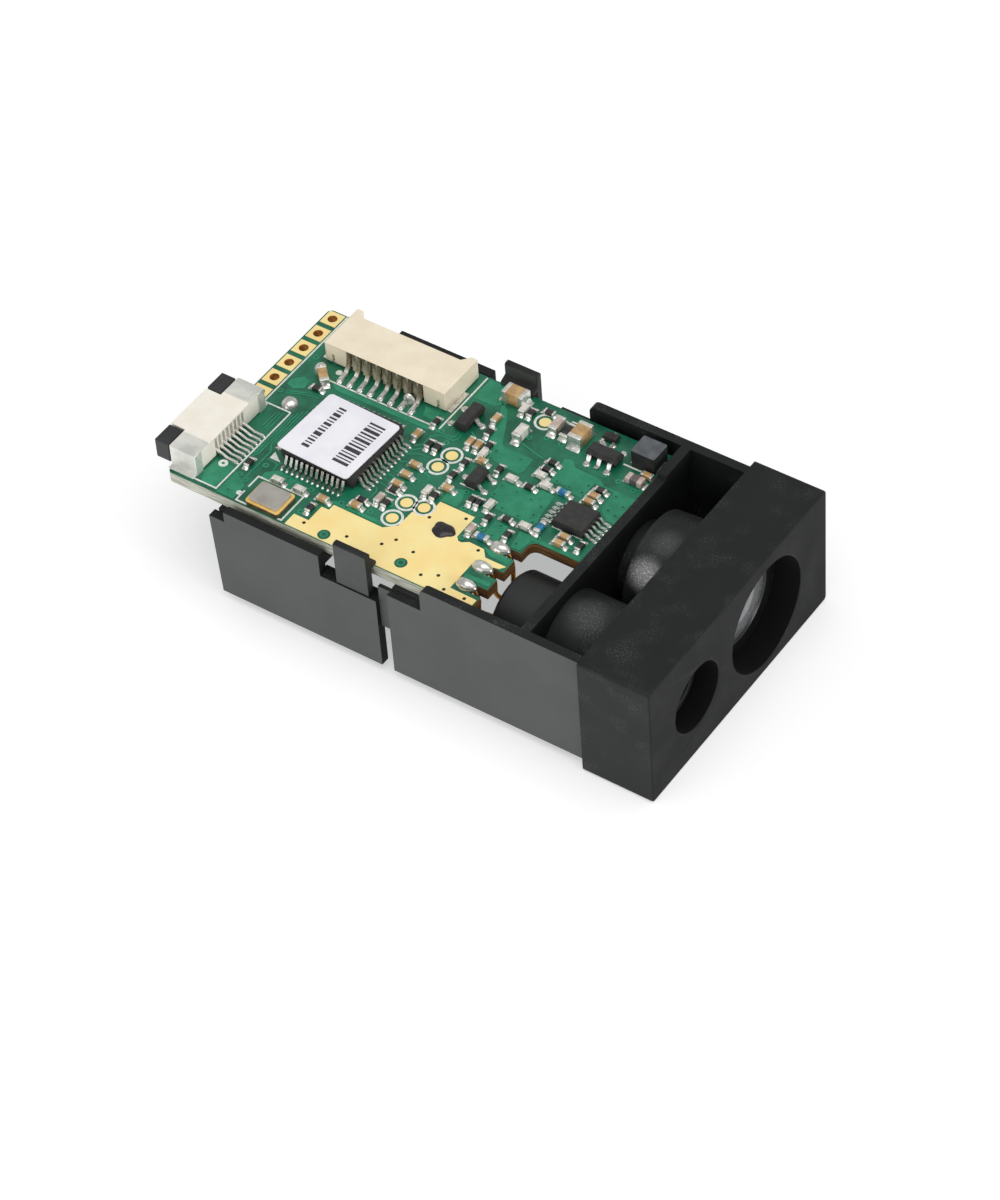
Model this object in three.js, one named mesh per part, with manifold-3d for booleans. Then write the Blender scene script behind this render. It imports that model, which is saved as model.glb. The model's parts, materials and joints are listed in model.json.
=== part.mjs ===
// Lidar rangefinder module: a moulded chassis with two optical bores, a laser barrel,
// and a circuit board with its connectors and parts clipped on top.
// Millimetres, +Z up, +X is the way the beam leaves, +Y is the receiver's side.
// Every X below is measured from the front face of the head, so it is negative going back.
import * as THREE from 'three';
import { mergeVertices } from 'three/addons/utils/BufferGeometryUtils.js';
import Module from 'manifold-3d';

const wasm = await Module();
wasm.setup();

// ---------------------------------------------------------------- driving sizes
// How far a cutting solid runs past the face it opens, and how deep joined solids are sunk together.
const REACH = 1;
const SINK = 0.3;

const HEAD = { depth: 6.4, halfWidth: 12.65, height: 12.1, edge: 0.15, cornerRadius: 0.2 };

const WALL = {
  outer: 12.2,
  inner: 11.4,
  bottom: 0.8,
  frontTop: 11.6,
  shelfTop: 9.3,
  rearTop: 10.15,
  rearCornerTop: 9.1,
  notchFloor: 7.95,
  stepX: -21.15,
  slotFrontX: -24.35,
  notchFrontX: -25.5,
  notchRearX: -30.8,
  rearCornerX: -40.0,
  rearTopX: -41.5,
  rearBottomX: -41.1,
  stepRound: 0.6,
};

const SLOT = { top: 4.9, recess: 0.45 };
const CROSS_WALL = { rearX: -12.5, frontX: -11.65, top: 11.2, raisedFromY: 7.9 };
const REAR_WALL = { thickness: 0.9 };
const LEDGE = { innerY: 10.3, sillY: 10.9, depth: 0.8, rearX: -41.0, clearance: 0.05 };
const FLOOR = { thickness: 0.8 };

const BOARD = {
  rearX: -46.35,
  frontX: -12.6,
  halfWidth: 11,
  under: 9.475,
  top: 10.475,
  cornerRadius: 0.5,
  cutoutX: -17.3,
  cutoutY: -2.5,
  cutoutRadius: 0.8,
  fingerSlot: 0.9,
  fingerSlotDepth: 1.4,
};

const SOLDER_HOLES = { count: 6, pitch: 2, firstY: 10.1, x: -45.45, diameter: 0.9 };

const OPTICS_Z = 5.85;
const BORE_CHAMFER = 0.08;
const RECEIVER = {
  y: 3.9,
  boreRadius: 5.0,
  seatX: -4.7,
  coneRadius: 4.2,
  throatX: -10.4,
  throatRadius: 2.3,
  pocketX: -10.6,
  pocketRadius: 2.8,
  shellRadius: 5.0,
  shellRearRadius: 4.8,
  shellRearX: -10.25,
  shellNeckRadius: 3.4,
};
const LENS_RING = { frontX: -2.4, rearX: -3.4, outerRadius: 4.95, innerRadius: 3.5, chamfer: 0.2 };
const RECEIVER_LENS = {
  crownX: -1.75,
  edgeX: -2.5,
  rimX: -3.45,
  rearX: -4.65,
  domeRadius: 3.4,
  radius: 4.9,
};
const FILTER = { frontX: -10.65, rearX: -11.15, radius: 2.7 };
const PHOTODIODE = {
  capX: -11.2,
  flangeFrontX: -12.5,
  flangeRearX: -13.1,
  capRadius: 2.3,
  flangeRadius: 2.9,
  pinRadius: 0.22,
  pinSpread: 1.27,
  pinBackX: -14.2,
  pinBend: 0.4,
  pinRise: 0.8,
  pinTopGap: 0.1,
};

const LASER = {
  y: -6.1,
  boreRadius: 3.05,
  stopX: -2.05,
  tubeRadius: 4.25,
  tubeBore: 3.85,
  barrelRadius: 3.8,
  barrelFrontX: -2.1,
  barrelRearX: -16.9,
  barrelChamfer: 0.3,
  lipRadius: 2.55,
  lipX: -2.5,
  lensSeatRadius: 2.9,
  lensSeatX: -4.7,
  lightRadius: 2.0,
  canPocketX: -15.6,
  canPocketRadius: 2.85,
};
const LASER_LENS = {
  crownX: -2.2,
  edgeX: -2.6,
  rimX: -2.85,
  rearX: -4.65,
  domeRadius: 2.45,
  radius: 2.85,
};
const LENS_ROUNDNESS = 0.9;
const LASER_CAN = { flangeRadius: 2.8, flangeFrontX: -15.65, capRadius: 1.77, capLength: 2.4 };
const LASER_PINS = {
  radius: 0.2,
  spread: 1,
  boardY: [-4.5, -6.9, -9.1],
  bendX: -17.5,
  riseX: -17.85,
  landX: -18.35,
  endX: -19.3,
  dip: 1.2,
  height: 0.25,
  gap: 0.03,
};
const LASER_SOLDER = { x: -18.95, length: 1.0, width: 0.62, height: 0.62 };

const CLIP = {
  rearX: -29.3,
  frontX: -26.2,
  outerY: 12.1,
  innerY: 11.45,
  root: 8.0,
  top: 12.3,
  bevel: 0.15,
  hookY: 10.75,
  hookUnder: 10.55,
  hookTop: 11.0,
};

const FPC = {
  rearX: -48,
  frontX: -44,
  y: -5.68,
  halfWidth: 4.47,
  standoff: 0.1,
  top: 2.0,
  earFrontX: -46.65,
  earDepth: 2.05,
  sideGap: 0.1,
  floorTop: 0.36,
  roofUnder: 1.6,
  wall: 0.45,
  pitch: 0.5,
  contacts: 8,
  contactWidth: 0.2,
  contactSlot: 0.3,
  contactSlotTop: 1.75,
};
const SLIDER = {
  barFrontX: -46.2,
  bridgeFrontX: -47.1,
  barBottom: 0.46,
  barTop: 1.5,
  earTop: 2.0,
  earBottom: 0.12,
  inset: 0.15,
  clearance: 0.05,
};
const NAIL = { sheet: 0.1, rearX: -46.45, frontX: -44.0, foot: 0.45, flange: 1.9, legWidth: 0.8 };

const WIRE = {
  rearX: -43.0,
  frontX: -31.2,
  innerY: 5.85,
  outerY: 9.8,
  cheekY: 10.5,
  cheek: 1.15,
  cheekTaper: 0.6,
  bottom: 0.15,
  top: 2.05,
  mouthY: 7.0,
  mouthSide: 0.75,
  mouthBottom: 0.5,
  mouthTop: 1.75,
  contacts: 8,
  pitch: 1,
  contactWidth: 0.34,
  slotWidth: 0.5,
  slotDepth: 0.32,
  slotTop: 1.95,
  tineHoleBottom: 0.9,
  tineHoleTop: 1.3,
  endSlotWidth: 0.3,
  endSlotTop: 1.0,
  endSlotInset: 0.75,
};
const WIRE_TAB = { under: 0.9, outside: 0.42, rearY: 6.0, frontY: 8.5, sheet: 0.13 };

const CONTROLLER = {
  x: -35.9,
  y: -1.67,
  body: 7,
  height: 1.5,
  standoff: 0.1,
  draft: 0.12,
  pitch: 0.5,
  leads: 12,
  leadWidth: 0.24,
  leadSpan: 4.5,
};
const LABEL = { x: -35.97, y: -2.0, size: 7.05, sheet: 0.08, turn: -0.04, corner: 0.35 };
const CRYSTAL = { x: -37.2, y: -9.6, length: 3.2, width: 2.5, base: 0.55, lid: 0.25, rim: 0.2, corner: 0.25 };

const LENGTH = -FPC.rearX;

// ---------------------------------------------------------------- finishes
const BLACK_PLASTIC = { color: 0x2c2f2f, roughness: 0.55, metalness: 0 };
const BARREL_PLASTIC = { color: 0x1d1f1f, roughness: 0.5, metalness: 0 };
const BOARD_GREEN = { color: 0x1f7a54, roughness: 0.45, metalness: 0 };
const CREAM_FPC = { color: 0xefe8da, roughness: 0.5, metalness: 0 };
const CREAM_WIRE = { color: 0xeadfc4, roughness: 0.5, metalness: 0 };
const SLIDER_GREY = { color: 0x3a3b3d, roughness: 0.55, metalness: 0 };
const TIN = { color: 0xc9c8c2, roughness: 0.3, metalness: 1 };
const BRASS = { color: 0xb98d4a, roughness: 0.35, metalness: 1 };
const CHIP_BLACK = { color: 0x2b2a2a, roughness: 0.6, metalness: 0 };
const CERAMIC_TAN = { color: 0xb98a5c, roughness: 0.45, metalness: 0 };
const CERAMIC_PINK = { color: 0xb7a19c, roughness: 0.45, metalness: 0 };
const CERAMIC_WHITE = { color: 0xdedcd6, roughness: 0.4, metalness: 0 };
const LABEL_WHITE = { color: 0xf0eef3, roughness: 0.6, metalness: 0 };
const GLASS_CLEAR = { color: 0xb9bcbd, roughness: 0.08, metalness: 0 };
const GLASS_RED = { color: 0x4a1420, roughness: 0.08, metalness: 0 };
const GLUE_BLACK = { color: 0x1b181c, roughness: 0.35, metalness: 0 };
const LID_GREY = { color: 0xb5aea6, roughness: 0.35, metalness: 1 };

// ---------------------------------------------------------------- solid helpers
function signedVolume(position, index) {
  const a = new THREE.Vector3();
  const b = new THREE.Vector3();
  const c = new THREE.Vector3();
  let volume = 0;
  for (let i = 0; i < index.length; i += 3) {
    a.fromBufferAttribute(position, index[i]);
    b.fromBufferAttribute(position, index[i + 1]);
    c.fromBufferAttribute(position, index[i + 2]);
    volume += a.dot(b.cross(c));
  }
  return volume;
}

function solid(geometry) {
  const bare = new THREE.BufferGeometry();
  bare.setAttribute('position', geometry.getAttribute('position'));
  if (geometry.index) {
    bare.setIndex(geometry.index);
  }
  const merged = mergeVertices(bare, 1e-4);
  const position = merged.getAttribute('position');
  const source = merged.index.array;
  const index = [];
  for (let i = 0; i < source.length; i += 3) {
    const [a, b, c] = [source[i], source[i + 1], source[i + 2]];
    if (a !== b && b !== c && c !== a) {
      index.push(a, b, c);
    }
  }
  if (signedVolume(position, index) < 0) {
    for (let i = 0; i < index.length; i += 3) {
      [index[i + 1], index[i + 2]] = [index[i + 2], index[i + 1]];
    }
  }
  return new wasm.Manifold(
    new wasm.Mesh({
      numProp: 3,
      vertProperties: new Float32Array(position.array),
      triVerts: new Uint32Array(index),
    }),
  );
}

function joined(solids) {
  return solids.reduce((sum, next) => sum.add(next));
}

function geometryOf(manifold) {
  const mesh = manifold.getMesh();
  const geometry = new THREE.BufferGeometry();
  geometry.setAttribute('position', new THREE.BufferAttribute(new Float32Array(mesh.vertProperties), 3));
  geometry.setIndex(new THREE.BufferAttribute(new Uint32Array(mesh.triVerts), 1));
  const flat = geometry.toNonIndexed();
  flat.computeVertexNormals();
  return flat;
}

function meshOf(name, manifold, finish) {
  const mesh = new THREE.Mesh(geometryOf(manifold), new THREE.MeshStandardMaterial(finish));
  mesh.name = name;
  return mesh;
}

function block(x0, x1, y0, y1, z0, z1) {
  const box = new THREE.BoxGeometry(x1 - x0, y1 - y0, z1 - z0);
  box.translate((x0 + x1) / 2, (y0 + y1) / 2, (z0 + z1) / 2);
  return solid(box);
}

function shapeOf(points) {
  return new THREE.Shape(points.map(([u, v]) => new THREE.Vector2(u, v)));
}

function roundedShape(halfLength, halfWidth, radius) {
  const shape = new THREE.Shape();
  const [a, b] = [halfLength, halfWidth];
  shape.moveTo(-a + radius, -b);
  shape.lineTo(a - radius, -b);
  shape.absarc(a - radius, -b + radius, radius, -Math.PI / 2, 0);
  shape.lineTo(a, b - radius);
  shape.absarc(a - radius, b - radius, radius, 0, Math.PI / 2);
  shape.lineTo(-a + radius, b);
  shape.absarc(-a + radius, b - radius, radius, Math.PI / 2, Math.PI);
  shape.lineTo(-a, -b + radius);
  shape.absarc(-a + radius, -b + radius, radius, Math.PI, Math.PI * 1.5);
  return shape;
}

// A flat outline in X and Y, raised from z0 to z1.
function raised(shape, z0, z1, curveSegments = 6) {
  const geometry = new THREE.ExtrudeGeometry(shape, { depth: z1 - z0, bevelEnabled: false, curveSegments });
  geometry.translate(0, 0, z0);
  return solid(geometry);
}

// An outline in X and Z, swept along Y from y0 to y1.
function sweptYGeometry(shape, y0, y1) {
  const settings = { depth: y1 - y0, bevelEnabled: false, curveSegments: 5 };
  const geometry = new THREE.ExtrudeGeometry(shape, settings);
  geometry.rotateX(Math.PI / 2);
  return geometry.translate(0, y1, 0);
}

function sweptY(shape, y0, y1) {
  return solid(sweptYGeometry(shape, y0, y1));
}

// An outline in Y and Z, swept along X from x0 to x1.
function sweptXGeometry(shape, x0, x1, options = {}) {
  const settings = { depth: x1 - x0, bevelEnabled: false, curveSegments: 5, ...options };
  const geometry = new THREE.ExtrudeGeometry(shape, settings);
  const turn = new THREE.Matrix4().makeBasis(
    new THREE.Vector3(0, 1, 0),
    new THREE.Vector3(0, 0, 1),
    new THREE.Vector3(1, 0, 0),
  );
  geometry.applyMatrix4(turn);
  return geometry.translate(x0, 0, 0);
}

function sweptX(shape, x0, x1) {
  return solid(sweptXGeometry(shape, x0, x1));
}

// A profile of [radius, x] pairs turned about an optical axis that runs along X.
function turnedX(profile, y, segments = 40) {
  const geometry = new THREE.LatheGeometry(
    profile.map(([radius, x]) => new THREE.Vector2(radius, x)),
    segments,
  );
  geometry.rotateZ(-Math.PI / 2);
  geometry.translate(0, y, OPTICS_Z);
  return solid(geometry);
}

function rod(radius, x0, x1, y) {
  return turnedX([[0, x0], [radius, x0], [radius, x1], [0, x1]], y);
}

function pin(points, radius, steps = 12) {
  const path = new THREE.CatmullRomCurve3(
    points.map(([x, y, z]) => new THREE.Vector3(x, y, z)),
    false,
    'catmullrom',
    0.3,
  );
  const circle = new THREE.Shape();
  circle.absarc(0, 0, radius, 0, Math.PI * 2);
  return solid(new THREE.ExtrudeGeometry(circle, { steps, extrudePath: path, curveSegments: 5 }));
}

function dome(x, y, length, width, height, rings = 4, segments = 20) {
  const profile = [new THREE.Vector2(0, 0)];
  for (let i = 0; i <= rings; i += 1) {
    const angle = (Math.PI / 2) * (i / rings);
    profile.push(new THREE.Vector2(i === rings ? 0 : Math.cos(angle), Math.sin(angle)));
  }
  const geometry = new THREE.LatheGeometry(profile, segments);
  geometry.rotateX(Math.PI / 2);
  geometry.scale(length, width, height);
  geometry.translate(x, y, BOARD.top);
  return solid(geometry);
}

// ---------------------------------------------------------------- chassis
function headBlock() {
  const inset = HEAD.edge;
  const shape = roundedShape(HEAD.halfWidth - inset, HEAD.height / 2 - inset, HEAD.cornerRadius);
  const blank = sweptXGeometry(shape, -HEAD.depth - inset, -inset, {
    bevelEnabled: true,
    bevelSize: inset,
    bevelThickness: inset,
    bevelSegments: 2,
  });
  blank.translate(0, 0, HEAD.height / 2);
  const wide = 2 * HEAD.halfWidth;
  const behind = block(-2 * HEAD.depth, -HEAD.depth, -wide, wide, -wide, wide);
  return solid(blank).subtract(behind);
}

function wallOutline() {
  const shape = new THREE.Shape();
  shape.moveTo(-HEAD.depth + SINK, WALL.bottom);
  shape.lineTo(-HEAD.depth + SINK, WALL.frontTop);
  shape.lineTo(WALL.stepX + WALL.stepRound, WALL.frontTop);
  shape.quadraticCurveTo(WALL.stepX, WALL.frontTop, WALL.stepX, WALL.frontTop - WALL.stepRound);
  shape.lineTo(WALL.stepX, WALL.shelfTop);
  shape.lineTo(WALL.notchFrontX, WALL.shelfTop);
  shape.lineTo(WALL.notchFrontX, WALL.notchFloor);
  shape.lineTo(WALL.notchRearX, WALL.notchFloor);
  shape.lineTo(WALL.notchRearX, WALL.rearTop);
  shape.lineTo(WALL.rearCornerX, WALL.rearTop);
  shape.lineTo(WALL.rearCornerX, WALL.rearCornerTop);
  shape.lineTo(WALL.rearTopX, WALL.rearCornerTop);
  shape.lineTo(WALL.rearBottomX, WALL.bottom);
  shape.closePath();
  return shape;
}

// Swaps a pair of Y limits given for the +Y side over to the side asked for.
function onSide(side, inner, outer) {
  return side > 0 ? [inner, outer] : [-outer, -inner];
}

function sideWall(side) {
  const [y0, y1] = onSide(side, WALL.inner, WALL.outer);
  const [x0, x1, z0] = [WALL.notchFrontX, WALL.slotFrontX, WALL.bottom - REACH];
  const [r0, r1] = onSide(side, WALL.outer - SLOT.recess, WALL.outer + REACH);
  const [w0, w1] = onSide(side, WALL.inner - REACH, WALL.outer + REACH);
  const recess = block(x0, x1, r0, r1, z0, WALL.shelfTop + REACH);
  const opening = block(x0, x1, w0, w1, z0, SLOT.top);
  return sweptY(wallOutline(), y0, y1).subtract(recess).subtract(opening);
}

function ledges() {
  const parts = [];
  for (const side of [1, -1]) {
    const [y0, y1] = onSide(side, LEDGE.innerY, WALL.inner + LEDGE.clearance);
    const bottom = BOARD.under - LEDGE.depth;
    parts.push(block(LEDGE.rearX, WALL.notchRearX, y0, y1, bottom, BOARD.under));
    parts.push(block(WALL.slotFrontX, CROSS_WALL.frontX, y0, y1, bottom, BOARD.under));
    const [s0, s1] = onSide(side, LEDGE.sillY, WALL.inner + LEDGE.clearance);
    const sill = WALL.notchFloor - LEDGE.depth;
    parts.push(block(WALL.notchRearX - SINK, WALL.notchFrontX - SINK, s0, s1, sill, WALL.notchFloor));
  }
  return joined(parts);
}

function crossWall() {
  const wide = WALL.inner + LEDGE.clearance;
  const low = block(CROSS_WALL.rearX, CROSS_WALL.frontX, -wide, wide, WALL.bottom, CROSS_WALL.top);
  const high = block(
    CROSS_WALL.rearX, CROSS_WALL.frontX, CROSS_WALL.raisedFromY, wide, WALL.bottom, WALL.frontTop,
  );
  return low.add(high);
}

function rearWall() {
  const wide = WALL.inner + LEDGE.clearance;
  const x0 = WALL.rearBottomX + LEDGE.clearance;
  return block(x0, x0 + REAR_WALL.thickness, -wide, wide, WALL.bottom, BOARD.under);
}

function cavityFloor() {
  const wide = WALL.inner + LEDGE.clearance;
  const top = WALL.bottom + FLOOR.thickness;
  return block(CROSS_WALL.rearX, -HEAD.depth + SINK, -wide, wide, WALL.bottom, top);
}

function receiverShell() {
  const r = RECEIVER;
  return turnedX(
    [
      [0, -HEAD.depth + SINK],
      [r.shellRadius, -HEAD.depth + SINK],
      [r.shellRadius, -HEAD.depth],
      [r.shellRearRadius, r.shellRearX],
      [r.shellNeckRadius, r.shellRearX],
      [r.shellNeckRadius, CROSS_WALL.frontX - SINK],
      [0, CROSS_WALL.frontX - SINK],
    ],
    r.y,
  );
}

// A bore open at both ends of the head: a chamfered mouth, then the stretch given by the profile.
function bore(mouthRadius, profile, y) {
  const mouth = [[0, REACH], [mouthRadius + REACH, REACH - BORE_CHAMFER], [mouthRadius, -BORE_CHAMFER]];
  const [lastRadius] = profile[profile.length - 1];
  const rear = CROSS_WALL.rearX - REACH;
  return turnedX([...mouth, ...profile, [lastRadius, rear], [0, rear]], y);
}

function receiverBore() {
  const r = RECEIVER;
  const profile = [
    [r.boreRadius, r.seatX],
    [r.coneRadius, r.seatX],
    [r.throatRadius, r.throatX],
    [r.throatRadius, r.pocketX],
    [r.pocketRadius, r.pocketX],
  ];
  return bore(r.boreRadius, profile, r.y);
}

function laserBore() {
  const l = LASER;
  return bore(l.boreRadius, [[l.boreRadius, l.stopX], [l.tubeBore, l.stopX]], l.y);
}

function chassis() {
  const shell = joined([
    headBlock(),
    sideWall(1),
    sideWall(-1),
    ledges(),
    crossWall(),
    rearWall(),
    cavityFloor(),
    receiverShell(),
    rod(LASER.tubeRadius, CROSS_WALL.frontX - SINK, -HEAD.depth + SINK, LASER.y),
  ]);
  return meshOf('chassis', shell.subtract(receiverBore()).subtract(laserBore()), BLACK_PLASTIC);
}

function snapClip(name, side) {
  const c = CLIP;
  const outline = [
    [c.outerY, c.root],
    [c.outerY, c.top - c.bevel],
    [c.outerY - c.bevel, c.top],
    [c.innerY + c.bevel, c.top],
    [c.innerY, c.top - c.bevel],
    [c.innerY, c.hookTop + c.bevel],
    [c.hookY, c.hookTop - c.bevel],
    [c.hookY, c.hookUnder],
    [c.innerY, c.hookUnder],
    [c.innerY, c.root],
  ].map(([y, z]) => [side * y, z]);
  return meshOf(name, sweptX(shapeOf(outline), c.rearX, c.frontX), BLACK_PLASTIC);
}

// ---------------------------------------------------------------- optics
function lensRing() {
  const g = LENS_RING;
  const ring = turnedX(
    [
      [g.innerRadius, g.rearX],
      [g.outerRadius, g.rearX],
      [g.outerRadius, g.frontX],
      [g.innerRadius + g.chamfer, g.frontX],
      [g.innerRadius, g.frontX - g.chamfer],
      [g.innerRadius, g.rearX],
    ],
    RECEIVER.y,
  );
  return meshOf('receiver_lens_ring', ring, BARREL_PLASTIC);
}

function lensSolid(lens, y) {
  const profile = [[0, lens.crownX]];
  const steps = 5;
  const drop = (share) => 1 - Math.sqrt(1 - (share * LENS_ROUNDNESS) ** 2);
  for (let i = 1; i <= steps; i += 1) {
    const share = i / steps;
    const x = lens.crownX + (lens.edgeX - lens.crownX) * (drop(share) / drop(1));
    profile.push([lens.domeRadius * share, x]);
  }
  const { domeRadius, radius, rimX, rearX } = lens;
  profile.push([domeRadius, rimX], [radius, rimX], [radius, rearX], [0, rearX]);
  return turnedX(profile, y);
}

function photodiode() {
  const p = PHOTODIODE;
  const can = turnedX(
    [
      [0, p.capX],
      [p.capRadius, p.capX],
      [p.capRadius, p.flangeFrontX],
      [p.flangeRadius, p.flangeFrontX],
      [p.flangeRadius, p.flangeRearX],
      [0, p.flangeRearX],
    ],
    RECEIVER.y,
  );
  const pins = [-1, 1].map((side) => {
    const y = RECEIVER.y + side * p.pinSpread;
    const points = [
      [p.flangeRearX + SINK, y, OPTICS_Z],
      [p.flangeRearX - p.pinBend, y, OPTICS_Z],
      [p.pinBackX, y, OPTICS_Z + p.pinRise],
      [p.pinBackX, y, BOARD.under - p.pinTopGap],
    ];
    return pin(points, p.pinRadius);
  });
  return meshOf('photodiode', joined([can, ...pins]), TIN);
}

function laserBarrel() {
  const l = LASER;
  const barrel = turnedX(
    [
      [l.lipRadius, l.barrelFrontX],
      [l.barrelRadius, l.barrelFrontX],
      [l.barrelRadius, l.barrelRearX + l.barrelChamfer],
      [l.barrelRadius - l.barrelChamfer, l.barrelRearX],
      [l.canPocketRadius, l.barrelRearX],
      [l.canPocketRadius, l.canPocketX],
      [l.lightRadius, l.canPocketX],
      [l.lightRadius, l.lensSeatX],
      [l.lensSeatRadius, l.lensSeatX],
      [l.lensSeatRadius, l.lipX],
      [l.lipRadius, l.lipX],
      [l.lipRadius, l.barrelFrontX],
    ],
    l.y,
  );
  return meshOf('laser_barrel', barrel, BARREL_PLASTIC);
}

function laserPin(index, radius) {
  const p = LASER_PINS;
  const turn = index - 1;
  const y0 = LASER.y - turn * p.spread;
  const z0 = OPTICS_Z + (turn === 0 ? p.spread : 0);
  const y1 = p.boardY[index];
  const z1 = BOARD.top + p.height;
  const points = [
    [LASER.barrelRearX + SINK, y0, z0],
    [p.bendX, y0, z0],
    [p.riseX, y1, BOARD.under - p.dip],
    [p.riseX, y1, BOARD.under],
    [p.landX, y1, z1],
    [p.endX, y1, z1],
  ];
  return pin(points, radius, 16);
}

function laserDiode() {
  const c = LASER_CAN;
  const can = turnedX(
    [
      [0, c.flangeFrontX + c.capLength],
      [c.capRadius, c.flangeFrontX + c.capLength],
      [c.capRadius, c.flangeFrontX],
      [c.flangeRadius, c.flangeFrontX],
      [c.flangeRadius, LASER.barrelRearX],
      [0, LASER.barrelRearX],
    ],
    LASER.y,
  );
  const pins = LASER_PINS.boardY.map((_, index) => laserPin(index, LASER_PINS.radius));
  return meshOf('laser_diode', joined([can, ...pins]), BRASS);
}

function laserSolder(index) {
  const s = LASER_SOLDER;
  const blob = dome(s.x, LASER_PINS.boardY[index], s.length, s.width, s.height);
  const cut = laserPin(index, LASER_PINS.radius + LASER_PINS.gap);
  return meshOf(`laser_solder_${index + 1}`, blob.subtract(cut), TIN);
}

function optics() {
  const group = new THREE.Group();
  group.name = 'optics';
  group.add(
    lensRing(),
    meshOf('receiver_lens', lensSolid(RECEIVER_LENS, RECEIVER.y), GLASS_CLEAR),
    meshOf('optical_filter', rod(FILTER.radius, FILTER.rearX, FILTER.frontX, RECEIVER.y), GLASS_RED),
    photodiode(),
    laserBarrel(),
    meshOf('laser_lens', lensSolid(LASER_LENS, LASER.y), GLASS_CLEAR),
    laserDiode(),
  );
  return group;
}

// ---------------------------------------------------------------- circuit board
function boardOutline() {
  const b = BOARD;
  const [r, q] = [b.cornerRadius, b.cutoutRadius];
  const shape = new THREE.Shape();
  shape.moveTo(b.rearX + r, -b.halfWidth);
  shape.lineTo(b.cutoutX, -b.halfWidth);
  for (const y of [...LASER_PINS.boardY].reverse()) {
    shape.lineTo(b.cutoutX, y - b.fingerSlot / 2);
    shape.lineTo(b.cutoutX - b.fingerSlotDepth, y - b.fingerSlot / 2);
    shape.lineTo(b.cutoutX - b.fingerSlotDepth, y + b.fingerSlot / 2);
    shape.lineTo(b.cutoutX, y + b.fingerSlot / 2);
  }
  shape.lineTo(b.cutoutX, b.cutoutY - q);
  shape.quadraticCurveTo(b.cutoutX, b.cutoutY, b.cutoutX + q, b.cutoutY);
  shape.lineTo(b.frontX, b.cutoutY);
  shape.lineTo(b.frontX, b.halfWidth);
  shape.lineTo(b.rearX + r, b.halfWidth);
  shape.quadraticCurveTo(b.rearX, b.halfWidth, b.rearX, b.halfWidth - r);
  shape.lineTo(b.rearX, -b.halfWidth + r);
  shape.quadraticCurveTo(b.rearX, -b.halfWidth, b.rearX + r, -b.halfWidth);
  return shape;
}

function circuitBoard() {
  const shape = boardOutline();
  for (let i = 0; i < SOLDER_HOLES.count; i += 1) {
    const hole = new THREE.Path();
    const y = SOLDER_HOLES.firstY - i * SOLDER_HOLES.pitch;
    hole.absarc(SOLDER_HOLES.x, y, SOLDER_HOLES.diameter / 2, 0, Math.PI * 2, true);
    shape.holes.push(hole);
  }
  return meshOf('circuit_board', raised(shape, BOARD.under, BOARD.top, 10), BOARD_GREEN);
}

const CHIP = { standoff: 0.08, leadExit: 0.58 };

// A moulded chip body with drafted sides, centred on the origin and standing on z = 0.
function chipBody(length, width, height, standoff, draft) {
  const levels = [[standoff, draft], [(standoff + height) / 2, 0], [height, draft]];
  const outline = (half) => {
    const right = levels.map(([z, inset]) => [half - inset, z]);
    const left = levels.map(([z, inset]) => [inset - half, z]).reverse();
    return shapeOf([...right, ...left]);
  };
  const a = sweptX(outline(width / 2), -length, length);
  const b = sweptY(outline(length / 2), -width, width);
  return a.intersect(b);
}

const LEAD = { sheet: 0.14, lift: 0.02, root: 0.15 };

// A gull-wing lead leaving towards +X from a body face at x = face, foot tip at x = tip.
function gullLead(face, tip, exit, width) {
  const { sheet, lift, root } = LEAD;
  const run = tip - face;
  const outline = [
    [face - root, exit],
    [face + 0.2 * run, exit],
    [tip - 0.5 * run, sheet + lift],
    [tip, sheet + lift],
    [tip, lift],
    [tip - 0.6 * run, lift],
    [face + 0.08 * run, exit - sheet],
    [face - root, exit - sheet],
  ];
  return sweptYGeometry(shapeOf(outline), -width / 2, width / 2);
}

function leadRow(spec, turn) {
  return spec.offsets.map((offset) => {
    const lead = gullLead(spec.face, spec.tip, spec.exit, spec.width);
    return solid(lead.translate(0, offset, 0).rotateZ(turn));
  });
}

function evenOffsets(count, pitch) {
  return Array.from({ length: count }, (_, i) => (i - (count - 1) / 2) * pitch);
}

// Stands a mesh made around its own origin on the board's top face.
function onBoard(mesh, x, y, turn = 0) {
  mesh.position.set(x, y, BOARD.top);
  mesh.rotation.z = turn;
  return mesh;
}

function controller() {
  const c = CONTROLLER;
  const body = chipBody(c.body, c.body, c.height, c.standoff, c.draft);
  const spec = {
    offsets: evenOffsets(c.leads, c.pitch),
    face: c.body / 2,
    tip: c.leadSpan,
    exit: c.height * CHIP.leadExit,
    width: c.leadWidth,
  };
  const leads = [0, 1, 2, 3].flatMap((quarter) => leadRow(spec, (quarter * Math.PI) / 2));
  return onBoard(meshOf('microcontroller', joined([body, ...leads]), CHIP_BLACK), c.x, c.y);
}

function chipLabel() {
  const l = LABEL;
  const z0 = CONTROLLER.height;
  const sheet = raised(roundedShape(l.size / 2, l.size / 2, l.corner), z0, z0 + l.sheet);
  return onBoard(meshOf('chip_label', sheet, LABEL_WHITE), l.x, l.y, l.turn);
}

function crystal() {
  const c = CRYSTAL;
  const base = raised(roundedShape(c.length / 2, c.width / 2, c.corner), 0, c.base);
  const lid = raised(
    roundedShape(c.length / 2 - c.rim, c.width / 2 - c.rim, c.corner),
    c.base,
    c.base + c.lid,
  );
  return [
    onBoard(meshOf('crystal_base', base, BRASS), c.x, c.y),
    onBoard(meshOf('crystal_lid', lid, LID_GREY), c.x, c.y),
  ];
}

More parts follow.
